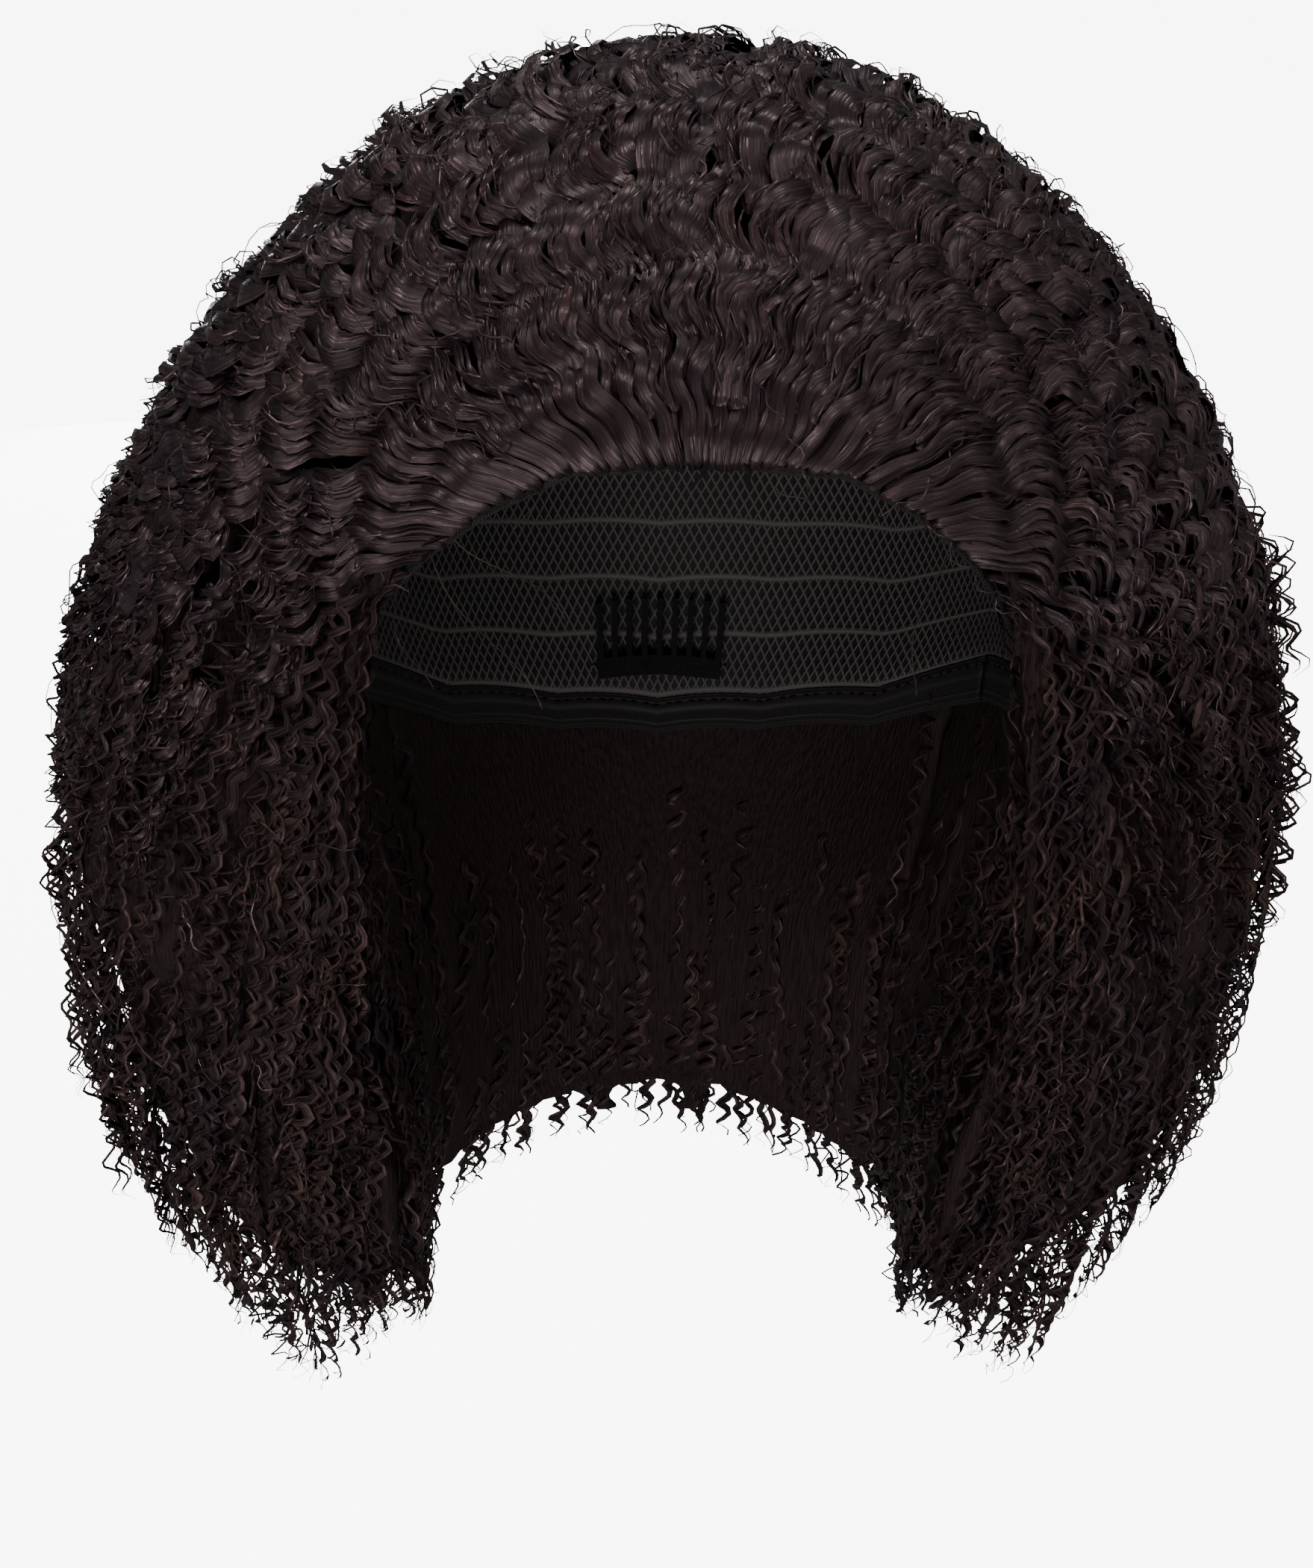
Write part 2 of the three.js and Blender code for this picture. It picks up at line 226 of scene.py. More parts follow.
def edge_down(turn, back=0.0):
    """The angle down to the wig's edge, less so far back towards the crown."""
    around = np.abs(np.arctan2(np.sin(turn), np.cos(turn)))
    down = np.radians(np.interp(np.degrees(around), EDGE_ROUND, EDGE_DOWN))
    reach = np.linalg.norm(on_cap(down, turn) - cap_middle, axis=-1)
    return down - back / reach


print("hairline at the middle:", on_cap(edge_down(0.0), 0.0).round(4))

# %% Say where the room is
OPENING_ROUND = 67
EDGE_REVEAL = 1.5 * MM
arch_turns = np.radians(np.linspace(0, OPENING_ROUND, 40))
arch = on_cap(edge_down(arch_turns, EDGE_REVEAL), arch_turns)
curtain_narrow = math.cos(math.radians(90 - OPENING_ROUND)) ** 0.5
curtain_z = CAP_CENTRE.z - np.array(ROOM_LEVEL[1:]) * ROOM_HEIGHT
curtain_x = np.array(ROOM_WIDE[1:]) * CAP_HALF_WIDTH * curtain_narrow
opening_z = np.concatenate((arch[:, 2], curtain_z))
opening_x = np.concatenate((arch[:, 0], curtain_x))


def opening_width(z):
    """Half the width of the front opening, under zero above the hairline."""
    return np.interp(-z, -opening_z, opening_x, left=-1.0)


def room_below(z):
    """The half width of the room below the cap, and its depth at the back."""
    level = np.clip((CAP_CENTRE.z - z) / ROOM_HEIGHT, 0, 1)
    wide = np.interp(level, ROOM_LEVEL, ROOM_WIDE) * CAP_HALF_WIDTH
    return wide, np.interp(level, ROOM_LEVEL, ROOM_BACK) * CAP_BACK


def in_room(p, spare=0.0):
    """True inside the front opening, the room below the cap or the cap itself."""
    x, y, z = np.abs(p[..., 0]), p[..., 1], p[..., 2]
    wide, back = room_below(z)
    lower = np.hypot(x / (wide + spare), y / (np.where(y < 0, CAP_FRONT, back) + spare)) < 1
    deep = np.where(y < 0, CAP_FRONT, CAP_BACK)
    arm = np.hypot(x / CAP_HALF_WIDTH, y / deep)
    cap = np.hypot(arm, (z - CAP_CENTRE.z) / CAP_RISE) < 1.03
    front = (x < opening_width(z) + spare) & (y < 0)
    return front | (lower & (z < CAP_CENTRE.z)) | cap


print("half width of the opening 100 mm down:", float(opening_width(np.array(-0.1)).round(4)))

# %% [markdown]
# ## The outer form of the hair
# The hair is combed into one rounded form. An implicit function describes it: it is
# under 1 inside the form and over 1 outside. Near the hairline the form is the cap's
# own, lifted by the depth of the roots. Its slope gives the direction out of the hair,
# and stepping along that slope puts any point back on the form.

# %% Describe the form
HAIR_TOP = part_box("crown_hair")[1][2]
HAIR_HALF_WIDTH = 149 * MM
HAIR_FRONT = 66 * MM
HAIR_BACK = 129 * MM
HAIR_CENTRE = 10 * MM
HAIR_WIDEST = 173 * MM
HAIR_DROP = 156 * MM
ROOT_LIFT = 9 * MM


def form(p):
    """Under 1 inside the hair's outer form, and over 1 outside it."""
    y = p[..., 1] - HAIR_CENTRE
    z = p[..., 2] + HAIR_WIDEST
    depth = np.where(y < 0, HAIR_FRONT + HAIR_CENTRE, HAIR_BACK - HAIR_CENTRE)
    flat = np.hypot(p[..., 0] / HAIR_HALF_WIDTH, y / depth)
    tall = np.where(z > 0, z / (HAIR_TOP + HAIR_WIDEST), -z / HAIR_DROP)
    power = np.where(z > 0, 2.0, 2.8)
    mass = (flat**power + tall**power) ** (1 / power)
    arm = p - cap_middle
    deep = np.where(arm[..., 1] < 0, CAP_FRONT, CAP_BACK) + ROOT_LIFT
    dome = np.sqrt(
        (arm[..., 0] / (CAP_HALF_WIDTH + ROOT_LIFT)) ** 2
        + (arm[..., 1] / deep) ** 2
        + (arm[..., 2] / (CAP_RISE + ROOT_LIFT)) ** 2
    )
    near = np.maximum(np.minimum(mass, dome), 1e-3)
    return near * ((mass / near) ** -10 + (dome / near) ** -10) ** -0.1


def slope(p, step=0.5 * MM):
    """The form's gradient at each point."""
    shifts = np.eye(3) * step
    return np.stack([(form(p + s) - form(p - s)) / (2 * step) for s in shifts], axis=-1)


def onto_form(p, share=1.0, rounds=3):
    """Each point moved along the slope to the form, or to a share of it."""
    for _ in range(rounds):
        g = slope(p)
        off = (form(p) - share) / np.maximum((g * g).sum(axis=-1), 1e-9)
        p = p - off[..., None] * g
    return p


print("form at the seat:", float(form(np.zeros(3)).round(3)))

# %% [markdown]
# ## How the hair falls
# Each lock leaves its root away from the opening, bends under its own weight towards the
# sides and the back, and below the widest level it hangs free, down to a hem that is not
# cut level. Tracing is done for all locks at once, a few millimetres at a time. Starts
# are thrown at random into the box, kept where they fall near the form, and thinned so
# that no two are too close.

# %% Trace the falls
TRACE_STEP = 3 * MM
COMBED_FROM = np.array((0.0, -62, -52)) * MM
DOWN = np.array((0.0, 0.0, -1.0))
dice = np.random.default_rng(7)


def hem(p):
    """How much lower the hem hangs than the form, as a share: it was not cut level."""
    side = np.abs(p[:, 0])
    tip = 0.09 * np.exp(-(((side - 96 * MM) / (13 * MM)) ** 2))
    corner = 0.10 * np.exp(-(((side - 65 * MM) / (10 * MM)) ** 2))
    return (tip - corner) * ease(45 * MM, 15 * MM, p[:, 1])


def falls(starts, share, steps, cut, weight=1.0):
    """Paths over the form, the directions out of it, and how many steps each lasts."""
    p = starts.copy()
    paths, outs = [], []
    lasts = np.full(len(p), steps)
    for k in range(steps + 1):
        out = unit(slope(p))
        paths.append(p)
        outs.append(out)
        away = unit(p - COMBED_FROM)
        heavy = 0.12 + weight * (
            1.6 * ease(60 * MM, 135 * MM, np.abs(p[:, 0]))
            + 1.6 * ease(-35 * MM, -115 * MM, p[:, 2])
            + 1.3 * ease(25 * MM, 105 * MM, p[:, 1])
        )
        course = away + heavy[:, None] * DOWN
        course = unit(course - out * (course * out).sum(axis=-1, keepdims=True))
        free = ease(0.0, -0.3, out[:, 2])[:, None]
        hang = unit(DOWN - 0.22 * out * (1, 1, 0))
        p = p + TRACE_STEP * unit(course * (1 - free) + hang * free)
        p = np.where(free > 0.5, p, onto_form(p, share, 1) * (1 - free) + p * free)
        over = (form(p) > 1 + cut + hem(p)) & (p[:, 2] < -HAIR_WIDEST)
        gone = (over | in_room(p, 0.3 * MM)) & (lasts == steps)
        lasts[gone] = k
    return np.stack(paths, axis=1), np.stack(outs, axis=1), lasts


def thinned(p, spacing):
    """The points, in their order, without those too close to an earlier one."""
    kept = np.full((len(p), 3), 9.0)
    count = 0
    for q in p:
        if np.min(((kept[: count + 1] - q) ** 2).sum(axis=1)) > spacing**2:
            kept[count] = q
            count += 1
    return kept[:count]


def skin_points(share, spacing, test, tries=90000):
    """Places on a share of the form where a test holds, a spacing apart."""
    low, high = np.array(cad_box)
    p = dice.uniform(low - 5 * MM, high + 5 * MM, (tries, 3))
    p = p[np.abs(form(p) - share) < 0.12]
    p = onto_form(p, share, 4)
    return thinned(p[test(p) & ~in_room(p, 0.5 * MM)], spacing)


# %% [markdown]
# ## From a path to a ribbon
# A ribbon of hair is modelled as a slim closed bar with three sides: a flat underside
# and two sloping faces that meet in a soft ridge. Its two long sides are marked sharp,
# so that it reads as a flat band of hairs and not as a tube. Thousands of them are
# joined into one mesh per section of the hair, straight from arrays, and each carries a
# UV map in millimetres, so that the fine hairs of the finish run along every wave.

# %% Make the ribbon builder
SIDES = 3


def add_piece(name, mesh):
    """An object for a mesh and on the root body."""
    made = bpy.data.objects.new(name, mesh)
    bpy.context.collection.objects.link(made)
    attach(made, "root")
    return made


class Ribbons:
    """Bars of hair that are gathered and then made into one mesh."""

    def __init__(self):
        self.corners, self.uvs, self.quads, self.ends = [], [], [], []
        self.count = 0

    def add(self, path, out, width, thick):
        ahead = unit(np.gradient(path, axis=0))
        side = unit(np.cross(ahead, out))
        rise = np.cross(side, ahead)
        w, t = side * width[:, None] / 2, rise * thick[:, None]
        ring = np.stack((path - w - t * 0.3, path + t * 0.7, path + w - t * 0.3), axis=1)
        along = np.linalg.norm(np.diff(path, axis=0), axis=1)
        along = np.concatenate(([0], np.cumsum(along))) / MM + dice.uniform(0, 300)
        across = np.stack((0 * width, width / 2, width), axis=1) / MM + dice.uniform(0, 900)
        n = len(path)
        self.corners.append(ring.reshape(-1, 3))
        self.uvs.append(np.stack((across.ravel(), np.repeat(along, SIDES)), axis=-1))
        k = np.arange(n - 1)[:, None] * SIDES + np.arange(SIDES)
        turned = np.arange(n - 1)[:, None] * SIDES + np.roll(np.arange(SIDES), -1)
        quad = np.stack((k, k + SIDES, turned + SIDES, turned), axis=-1).reshape(-1, 4)
        self.quads.append(quad + self.count)
        last = (n - 1) * SIDES
        self.ends.append(np.array([(0, 1, 2), (last + 2, last + 1, last)]) + self.count)
        self.count += n * SIDES

    def piece(self, name, finish, slot="hair"):
        """Joins the bars into one mesh and adds it as a piece."""
        quads, ends = np.concatenate(self.quads), np.concatenate(self.ends)
        loops = np.concatenate((quads.ravel(), ends.ravel())).astype(np.int32)
        starts = np.concatenate((np.arange(len(quads)) * 4, quads.size + np.arange(len(ends)) * 3))
        mesh = bpy.data.meshes.new(name)
        mesh.vertices.add(self.count)
        mesh.vertices.foreach_set("co", np.concatenate(self.corners).ravel())
        mesh.loops.add(len(loops))
        mesh.loops.foreach_set("vertex_index", loops)
        mesh.polygons.add(len(starts))
        mesh.polygons.foreach_set("loop_start", starts.astype(np.int32))
        mesh.update(calc_edges=True)
        mesh.shade_smooth()
        edges = np.empty(len(mesh.edges) * 2, dtype=np.int32)
        mesh.edges.foreach_get("vertices", edges)
        a, b = edges.reshape(-1, 2).T
        creased = (np.abs(a - b) == SIDES) & (a % SIDES != 1)
        mesh.attributes.new("sharp_edge", "BOOLEAN", "EDGE").data.foreach_set("value", creased)
        uv = mesh.uv_layers.new(name="hairs")
        uv.data.foreach_set("uv", np.concatenate(self.uvs)[loops].ravel())
        mesh.materials.append(finish)
        add_piece(name, mesh)
        print(name, len(self.quads), "bars,", len(quads) * 2 + len(ends), "triangles")


# %% [markdown]
# ## The hair's finish
# Off-black hair is nearly all gloss: its own colour is very dark, and what is seen is
# the light along the crests. Fine lines across the ribbon, stretched along it, stand
# for the single hairs in colour and in bump, and their light colour is partly a painted
# glint along the hairs. The gloss is spread across the hairs and kept short along them,
# as real hair's is, by anisotropy on the UV map's own direction.

# %% Make the hair's finish
def node(tree, kind, **settings):
    made = tree.nodes.new(kind)
    for name, value in settings.items():
        setattr(made, name, value)
    return made


def stretched_noise(tree, source, scale, detail):
    """Noise on a set of coordinates, stretched by three scales."""
    stretch = node(tree, "ShaderNodeMapping")
    stretch.inputs["Scale"].default_value = scale
    tree.links.new(source, stretch.inputs["Vector"])
    made = node(tree, "ShaderNodeTexNoise")
    made.inputs["Scale"].default_value = 1.0
    made.inputs["Detail"].default_value = detail
    tree.links.new(stretch.outputs["Vector"], made.inputs["Vector"])
    return made.outputs["Fac"]


def ramp_between(tree, source, low, high, dark, light):
    """A colour from a dark to a light one as a value goes from low to high."""
    ramp = node(tree, "ShaderNodeValToRGB")
    for stop, place, colour in zip(ramp.color_ramp.elements, (low, high), (dark, light)):
        stop.position = place
        stop.color = (*colour, 1)
    tree.links.new(source, ramp.inputs["Fac"])
    return ramp.outputs["Color"]


def multiplied(tree, a, b):
    """One colour multiplied by another."""
    mix = node(tree, "ShaderNodeMix", data_type="RGBA", blend_type="MULTIPLY")
    mix.inputs["Factor"].default_value = 1.0
    tree.links.new(a, mix.inputs["A"])
    tree.links.new(b, mix.inputs["B"])
    return mix.outputs["Result"]


def bumped(tree, height, depth, shader):
    """Fine relief on a shader, as deep as given."""
    bump = node(tree, "ShaderNodeBump")
    bump.inputs["Distance"].default_value = depth
    tree.links.new(height, bump.inputs["Height"])
    tree.links.new(bump.outputs["Normal"], shader.inputs["Normal"])


def hair_finish(name, dark, light, gloss, rough):
    """Dark hair: fine lines along the ribbon, their light colour partly a painted glint, with a gloss that
    spreads across them.
    """
    made, tree, shader = new_finish(name)
    shader.inputs["Specular IOR Level"].default_value = gloss
    shader.inputs["Specular Tint"].default_value = (1.0, 0.72, 0.75, 1)
    shader.inputs["Anisotropic"].default_value = 0.7

    place = node(tree, "ShaderNodeUVMap", uv_map="hairs").outputs["UV"]
    where = node(tree, "ShaderNodeTexCoord").outputs["Object"]
    hairs = stretched_noise(tree, place, (1.7, 0.04, 1), 5.0)
    wisps = stretched_noise(tree, place, (0.6, 0.03, 1), 1.0)
    patches = stretched_noise(tree, where, (42, 42, 42), 2.0)
    # The lines' light colour is partly a painted glint on the single hairs.
    lines = ramp_between(tree, hairs, 0.45, 0.60, dark, light)
    locks = ramp_between(tree, wisps, 0.35, 0.65, (0.4, 0.4, 0.4), (1, 1, 1))
    tones = ramp_between(tree, patches, 0.36, 0.64, (0.62, 0.52, 0.66), (1.0, 0.80, 0.66))
    colour = multiplied(tree, multiplied(tree, lines, locks), tones)
    tree.links.new(colour, shader.inputs["Base Color"])
    dull, bright = (rough + 0.34,) * 3, (rough,) * 3
    shine = ramp_between(tree, hairs, 0.44, 0.62, dull, bright)
    tree.links.new(shine, shader.inputs["Roughness"])
    bumped(tree, hairs, 0.55 * MM, shader)
    grain = node(tree, "ShaderNodeTangent", direction_type="UV_MAP", uv_map="hairs")
    tree.links.new(grain.outputs["Tangent"], shader.inputs["Tangent"])
    return made


# Each finish: the dark and light colours of the hairs, the light one partly a painted glint, then the
# gloss level and the roughness.
top_finish = hair_finish("waved_hair", (0.0018, 0.0012, 0.0013), (0.044, 0.025, 0.0275), 0.54, 0.22)
# A darker copy of the waved hair's finish: painted shade where the hair lies dense at its roots. The
# underlay wears it too.
shaded_hair_finish = hair_finish("shaded_waved_hair", (0.0016, 0.0010, 0.0011), (0.028, 0.017, 0.019), 0.52, 0.22)
side_finish = hair_finish("curled_hair", (0.0036, 0.0025, 0.0023), (0.056, 0.0375, 0.0355), 0.28, 0.38)

# %% [markdown]
# ## The core
# Behind the ribbons lies a dense dark mass, or the white surround would shine through.
# Each section's core is a copy of its solid, with its edges merged and remeshed into an
# even skin. Its outer side is then drawn in, to leave room for the ribbons, and more so
# at the hem and low on the left, where the locks hang apart. At the hairline and beside
# the opening it is drawn back from the edge.

# %% Make the cores
MERGE = 0.01 * MM
CORE_CELL = 5 * MM
TOP_DEPTH = 4.5 * MM
CORE_DEPTH = 4 * MM
HEM_DEPTH = 14 * MM
HAIRLINE_REVEAL = 7 * MM
EDGE_ARM = 90 * MM
TOP_SHARE = 0.985

core_finish, core_tree, core_shader = new_finish("hair_depth")
core_shader.inputs["Roughness"].default_value = 0.8
core_shader.inputs["Specular IOR Level"].default_value = 0.08
core_where = node(core_tree, "ShaderNodeTexCoord").outputs["Object"]
core_grain = stretched_noise(core_tree, core_where, (1300, 1300, 110), 2.0)
core_dark, core_light = (0.004, 0.0027, 0.0025), (0.032, 0.020, 0.019)
core_colour = ramp_between(core_tree, core_grain, 0.0, 1.0, core_dark, core_light)
core_tree.links.new(core_colour, core_shader.inputs["Base Color"])
bumped(core_tree, core_grain, 1.0 * MM, core_shader)


def cap_reach(p):
    """How far each point is outside the ellipsoid of the cap's inside."""
    arm = p - cap_middle
    way = unit(arm)
    deep = np.where(way[:, 1] < 0, CAP_FRONT, CAP_BACK)
    flat = (way[:, 0] / CAP_HALF_WIDTH) ** 2 + (way[:, 1] / deep) ** 2
    return np.linalg.norm(arm, axis=1) - 1 / np.sqrt(flat + (way[:, 2] / CAP_RISE) ** 2)


def off_edge(p):
    """How far each point lies from the wig's edge, towards the crown, and its turn."""
    arm = p - cap_middle
    deep = np.where(arm[:, 1] < 0, CAP_FRONT, CAP_BACK)
    turn = np.arctan2(arm[:, 0] / CAP_HALF_WIDTH, -arm[:, 1] / deep)
    flat = np.hypot(arm[:, 0] / CAP_HALF_WIDTH, arm[:, 1] / deep)
    down = np.arctan2(flat, arm[:, 2] / CAP_RISE)
    return (edge_down(turn) - down) * EDGE_ARM, turn


def core_of(section):
    """Adds the dark core of one section of the hair."""
    mesh = nodes[section].data.copy()
    merged = bmesh.new()
    merged.from_mesh(mesh)
    bmesh.ops.remove_doubles(merged, verts=merged.verts, dist=MERGE)
    merged.to_mesh(mesh)
    merged.free()
    core = bpy.data.objects.new(section + "_core", mesh)
    bpy.context.collection.objects.link(core)
    even = core.modifiers.new("even", "REMESH")
    even.mode = "VOXEL"
    even.voxel_size = CORE_CELL
    remeshed = core.evaluated_get(bpy.context.evaluated_depsgraph_get())
    done = bpy.data.meshes.new_from_object(remeshed)
    core.modifiers.clear()
    core.data = done
    p = np.empty(len(done.vertices) * 3)
    done.vertices.foreach_get("co", p)
    p = p.reshape(-1, 3)
    outer = ease(0.80, 0.97, form(p))
    depth = TOP_DEPTH + (CORE_DEPTH - TOP_DEPTH) * ease(-70 * MM, -130 * MM, p[:, 2])
    depth = np.minimum(depth, 0.6 * np.maximum(cap_reach(p), 0))
    trim = np.maximum(-hem(p), 0) * HAIR_DROP
    depth = depth + (HEM_DEPTH + trim - depth) * ease(-235 * MM, -320 * MM, p[:, 2])
    loose = ease(-105 * MM, -135 * MM, p[:, 0]) * ease(-150 * MM, -200 * MM, p[:, 2])
    p = p - unit(slope(p)) * (outer * (depth + 6 * MM * loose))[:, None]
    beyond, turn = off_edge(p)
    way = unit(p - cap_middle)
    crownward = unit(np.array((0, 0, 1)) - way * way[:, 2:])
    hairline = ease(10 * MM, 0, beyond) * ease(18 * MM, 4 * MM, cap_reach(p))
    hairline = hairline * (np.abs(turn) < 1.7)
    p = p + crownward * (hairline * HAIRLINE_REVEAL)[:, None]
    beside = ease(14 * MM, 0, np.abs(p[:, 0]) - opening_width(p[:, 2])) * (p[:, 1] < -10 * MM)
    p[:, 0] += np.sign(p[:, 0]) * 6 * MM * beside * (p[:, 2] < -50 * MM)
    done.vertices.foreach_set("co", p.ravel())
    done.materials.clear()
    done.materials.append(core_finish)
    done.shade_smooth()
    done.update()
    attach(core, "root")
    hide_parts(section)
    print(core.name, len(done.polygons), "faces")


for section in ("front_hair", "crown_hair", "right_hair", "left_hair", "back_hair"):
    core_of(section)

# %% [markdown]
# ## The net cap
# The base is a thin net, stretched to a dome, with rows of stitches where the wefts of
# hair are sewn on outside. A flat grid is wrapped over the ellipsoid: one side runs
# round and the other down from the crown to the band. The seam and the pole are merged,
# and the grid's own UV map, in shares of the way round and down, carries the net.

# %% Make the net's finish
def stripes(tree, source, turn, scale, sharp):
    """Soft lines across a set of coordinates that are turned and scaled first."""
    lay = node(tree, "ShaderNodeMapping")
    lay.inputs["Rotation"].default_value = (0, 0, math.radians(turn))
    tree.links.new(source, lay.inputs["Vector"])
    wave = node(tree, "ShaderNodeTexWave", wave_type="BANDS", bands_direction="X")
    wave.inputs["Scale"].default_value = scale
    tree.links.new(lay.outputs["Vector"], wave.inputs["Vector"])
    power = node(tree, "ShaderNodeMath", operation="POWER")
    power.inputs[1].default_value = sharp
    tree.links.new(wave.outputs["Fac"], power.inputs[0])
    return power.outputs["Value"]


def highest(tree, a, b):
    made = node(tree, "ShaderNodeMath", operation="MAXIMUM")
    tree.links.new(a, made.inputs[0])
    tree.links.new(b, made.inputs[1])
    return made.outputs["Value"]


def cloth_finish(name, uv_size, lines, dark, light, depth, rough):
    """Dark cloth whose threads are sets of stripes on the piece's own UV map, in mm."""
    made, tree, shader = new_finish(name)
    shader.inputs["Roughness"].default_value = rough
    shader.inputs["Specular IOR Level"].default_value = 0.25
    in_mm = node(tree, "ShaderNodeMapping")
    in_mm.inputs["Scale"].default_value = (*uv_size, 1)
    weave = node(tree, "ShaderNodeUVMap", uv_map="weave").outputs["UV"]
    tree.links.new(weave, in_mm.inputs["Vector"])
    sets = [stripes(tree, in_mm.outputs["Vector"], *line) for line in lines]
    height = sets[0]
    for other in sets[1:]:
        height = highest(tree, height, other)
    colour = ramp_between(tree, height, 0.1, 0.8, dark, light)
    tree.links.new(colour, shader.inputs["Base Color"])
    bumped(tree, height, depth, shader)
    return made


# Each line: its turn in degrees, its wave's scale and its sharpness. A wave of scale
# PERIOD / 2.2 gives one line to every 2.2 mm.
PERIOD = 0.314
NET_LINES = ((32, PERIOD / 2.2, 5), (-32, PERIOD / 2.2, 5), (90, PERIOD / 13, 40))
BAND_LINES = ((0, PERIOD / 0.9, 1.5), (90, PERIOD / 1.6, 2))
NET_DARK, NET_LIGHT = (0.006, 0.005, 0.005), (0.075, 0.064, 0.062)
BAND_DARK, BAND_LIGHT = (0.003, 0.0026, 0.0026), (0.022, 0.0185, 0.018)
net_finish = cloth_finish("cap_net", (480, 190), NET_LINES, NET_DARK, NET_LIGHT, 0.5 * MM, 0.8)
band_finish = cloth_finish("edge_band", (330, 24), BAND_LINES, BAND_DARK, BAND_LIGHT, 0.25 * MM, 0.75)
print("net and band finishes made")

# %% Wrap a grid over the cap
def wrapped_grid(name, across, down, place, finish, slot):
    """A grid whose points are put in place by a function of two shares from 0 to 1."""
    grid = bmesh.new()
    grid.loops.layers.uv.new("weave")
    bmesh.ops.create_grid(grid, x_segments=across, y_segments=down, size=0.5, calc_uvs=True)
    shares = np.array([v.co for v in grid.verts])[:, :2] + 0.5
    for v, spot in zip(grid.verts, place(shares[:, 0], shares[:, 1])):
        v.co = spot
    bmesh.ops.remove_doubles(grid, verts=grid.verts, dist=0.02 * MM)
    rims = [e for e in grid.edges if e.is_boundary]
    if slot == "band":
        bmesh.ops.holes_fill(grid, edges=rims, sides=0)
    bmesh.ops.recalc_face_normals(grid, faces=grid.faces)
    area = sum(f.calc_area() for f in grid.faces)
    mesh = bpy.data.meshes.new(name)
    grid.to_mesh(mesh)
    grid.free()
    mesh.shade_smooth()
    mesh.materials.append(finish)
    made = add_piece(name, mesh)
    print(name, len(mesh.polygons), "faces,", round(area * 1e4), "square cm")
    return made, area


NET_THICK = 0.7 * MM


def net_place(round_share, down_share):
    turn = (round_share * 2 - 1) * np.pi
    return on_cap(down_share * edge_down(turn, BAND_WIDTH - 1 * MM), turn, 0.4 * MM)


net, net_area = wrapped_grid("sewn_net", 96, 34, net_place, net_finish, "net")
wall = net.modifiers.new("wall", "SOLIDIFY")
wall.thickness = NET_THICK
wall.offset = 1.0
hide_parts("net_cap")

# %% [markdown]
# ## The bound edge
# The cap's edge is bound with a narrow band of woven cloth, folded over so that its rims
# are round. Its cross-section is a flat ring that is swept along the edge line by the
# same wrapped grid. The front band runs over the hairline from side to side, and the
# nape band closes the ring. A row of stitches holds the fold on the inside.

# %% Bind the edge
BAND_TURN = math.radians(FRONT_BAND_SPAN)
STITCH_GAP = 0.046


def band_place(first, last):
    """A place on a band between two turns, by shares along it and round its section."""

    def place(along, ring):
        turn = first + (last - first) * along
        angle = 2 * np.pi * ring
        squared = lambda a: np.sign(a) * np.abs(a) ** 0.55
        back = BAND_WIDTH * (0.5 + 0.5 * squared(np.cos(angle)))
        out = CAP_WALL * (0.5 + 0.5 * squared(np.sin(angle)))
        return on_cap(edge_down(turn, back), turn, out)

    return place


def stitch_row(name, turns, back, out):
    """Short stitches laid along the edge line."""
    row = bmesh.new()
    spots = on_cap(edge_down(turns, back), turns, out)
    ahead = unit(np.gradient(spots, axis=0))
    for k, (spot, way) in enumerate(zip(spots, ahead)):
        lean = Vector(way).to_track_quat("X", "Z").to_matrix().to_4x4()
        lay = Matrix.Translation(spot) @ lean @ Matrix.Rotation(0.35 * (-1) ** k, 4, "Z")
        size = Matrix.Diagonal((1.5 * MM, 0.35 * MM, 0.35 * MM, 1))
        bmesh.ops.create_icosphere(row, subdivisions=1, radius=1, matrix=lay @ size)
    mesh = bpy.data.meshes.new(name)
    row.to_mesh(mesh)
    row.free()
    mesh.shade_smooth()
    mesh.materials.append(thread_finish)
    add_piece(name, mesh)
    print(name, len(turns), "stitches")


thread_finish, thread_tree, thread_shader = new_finish("sewing_thread")
thread_where = node(thread_tree, "ShaderNodeTexCoord").outputs["Object"]
twist = stretched_noise(thread_tree, thread_where, (2500, 2500, 2500), 1.0)
thread_shader.inputs["Roughness"].default_value = 0.8
thread_shader.inputs["Specular IOR Level"].default_value = 0.1
thread_dark, thread_light = (0.002, 0.0017, 0.0017), (0.009, 0.008, 0.008)
thread_colour = ramp_between(thread_tree, twist, 0.3, 0.7, thread_dark, thread_light)
thread_tree.links.new(thread_colour, thread_shader.inputs["Base Color"])

front_path = band_place(-BAND_TURN, BAND_TURN)
nape_path = band_place(BAND_TURN + 0.004, 2 * np.pi - BAND_TURN - 0.004)
front_band, _ = wrapped_grid("front_binding", 110, 14, front_path, band_finish, "band")
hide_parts("front_band")
nape_band, _ = wrapped_grid("nape_binding", 100, 14, nape_path, band_finish, "band")
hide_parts("nape_band")
front_turns = np.arange(-BAND_TURN, BAND_TURN, STITCH_GAP)
nape_turns = np.arange(BAND_TURN, 2 * np.pi - BAND_TURN, STITCH_GAP)
stitch_row("front_stitches", front_turns, 7 * MM, 0.0)
stitch_row("nape_stitches", nape_turns, 7 * MM, 0.0)

# %% [markdown]
# ## The combs
# A small moulded comb is sewn inside the front and another inside the nape, teeth
# towards the crown. Each is a copy of its solid, whose flat faces are joined again and
# whose edges are bevelled, as a mould leaves them. Loops of thread tie its spine to the
# net.

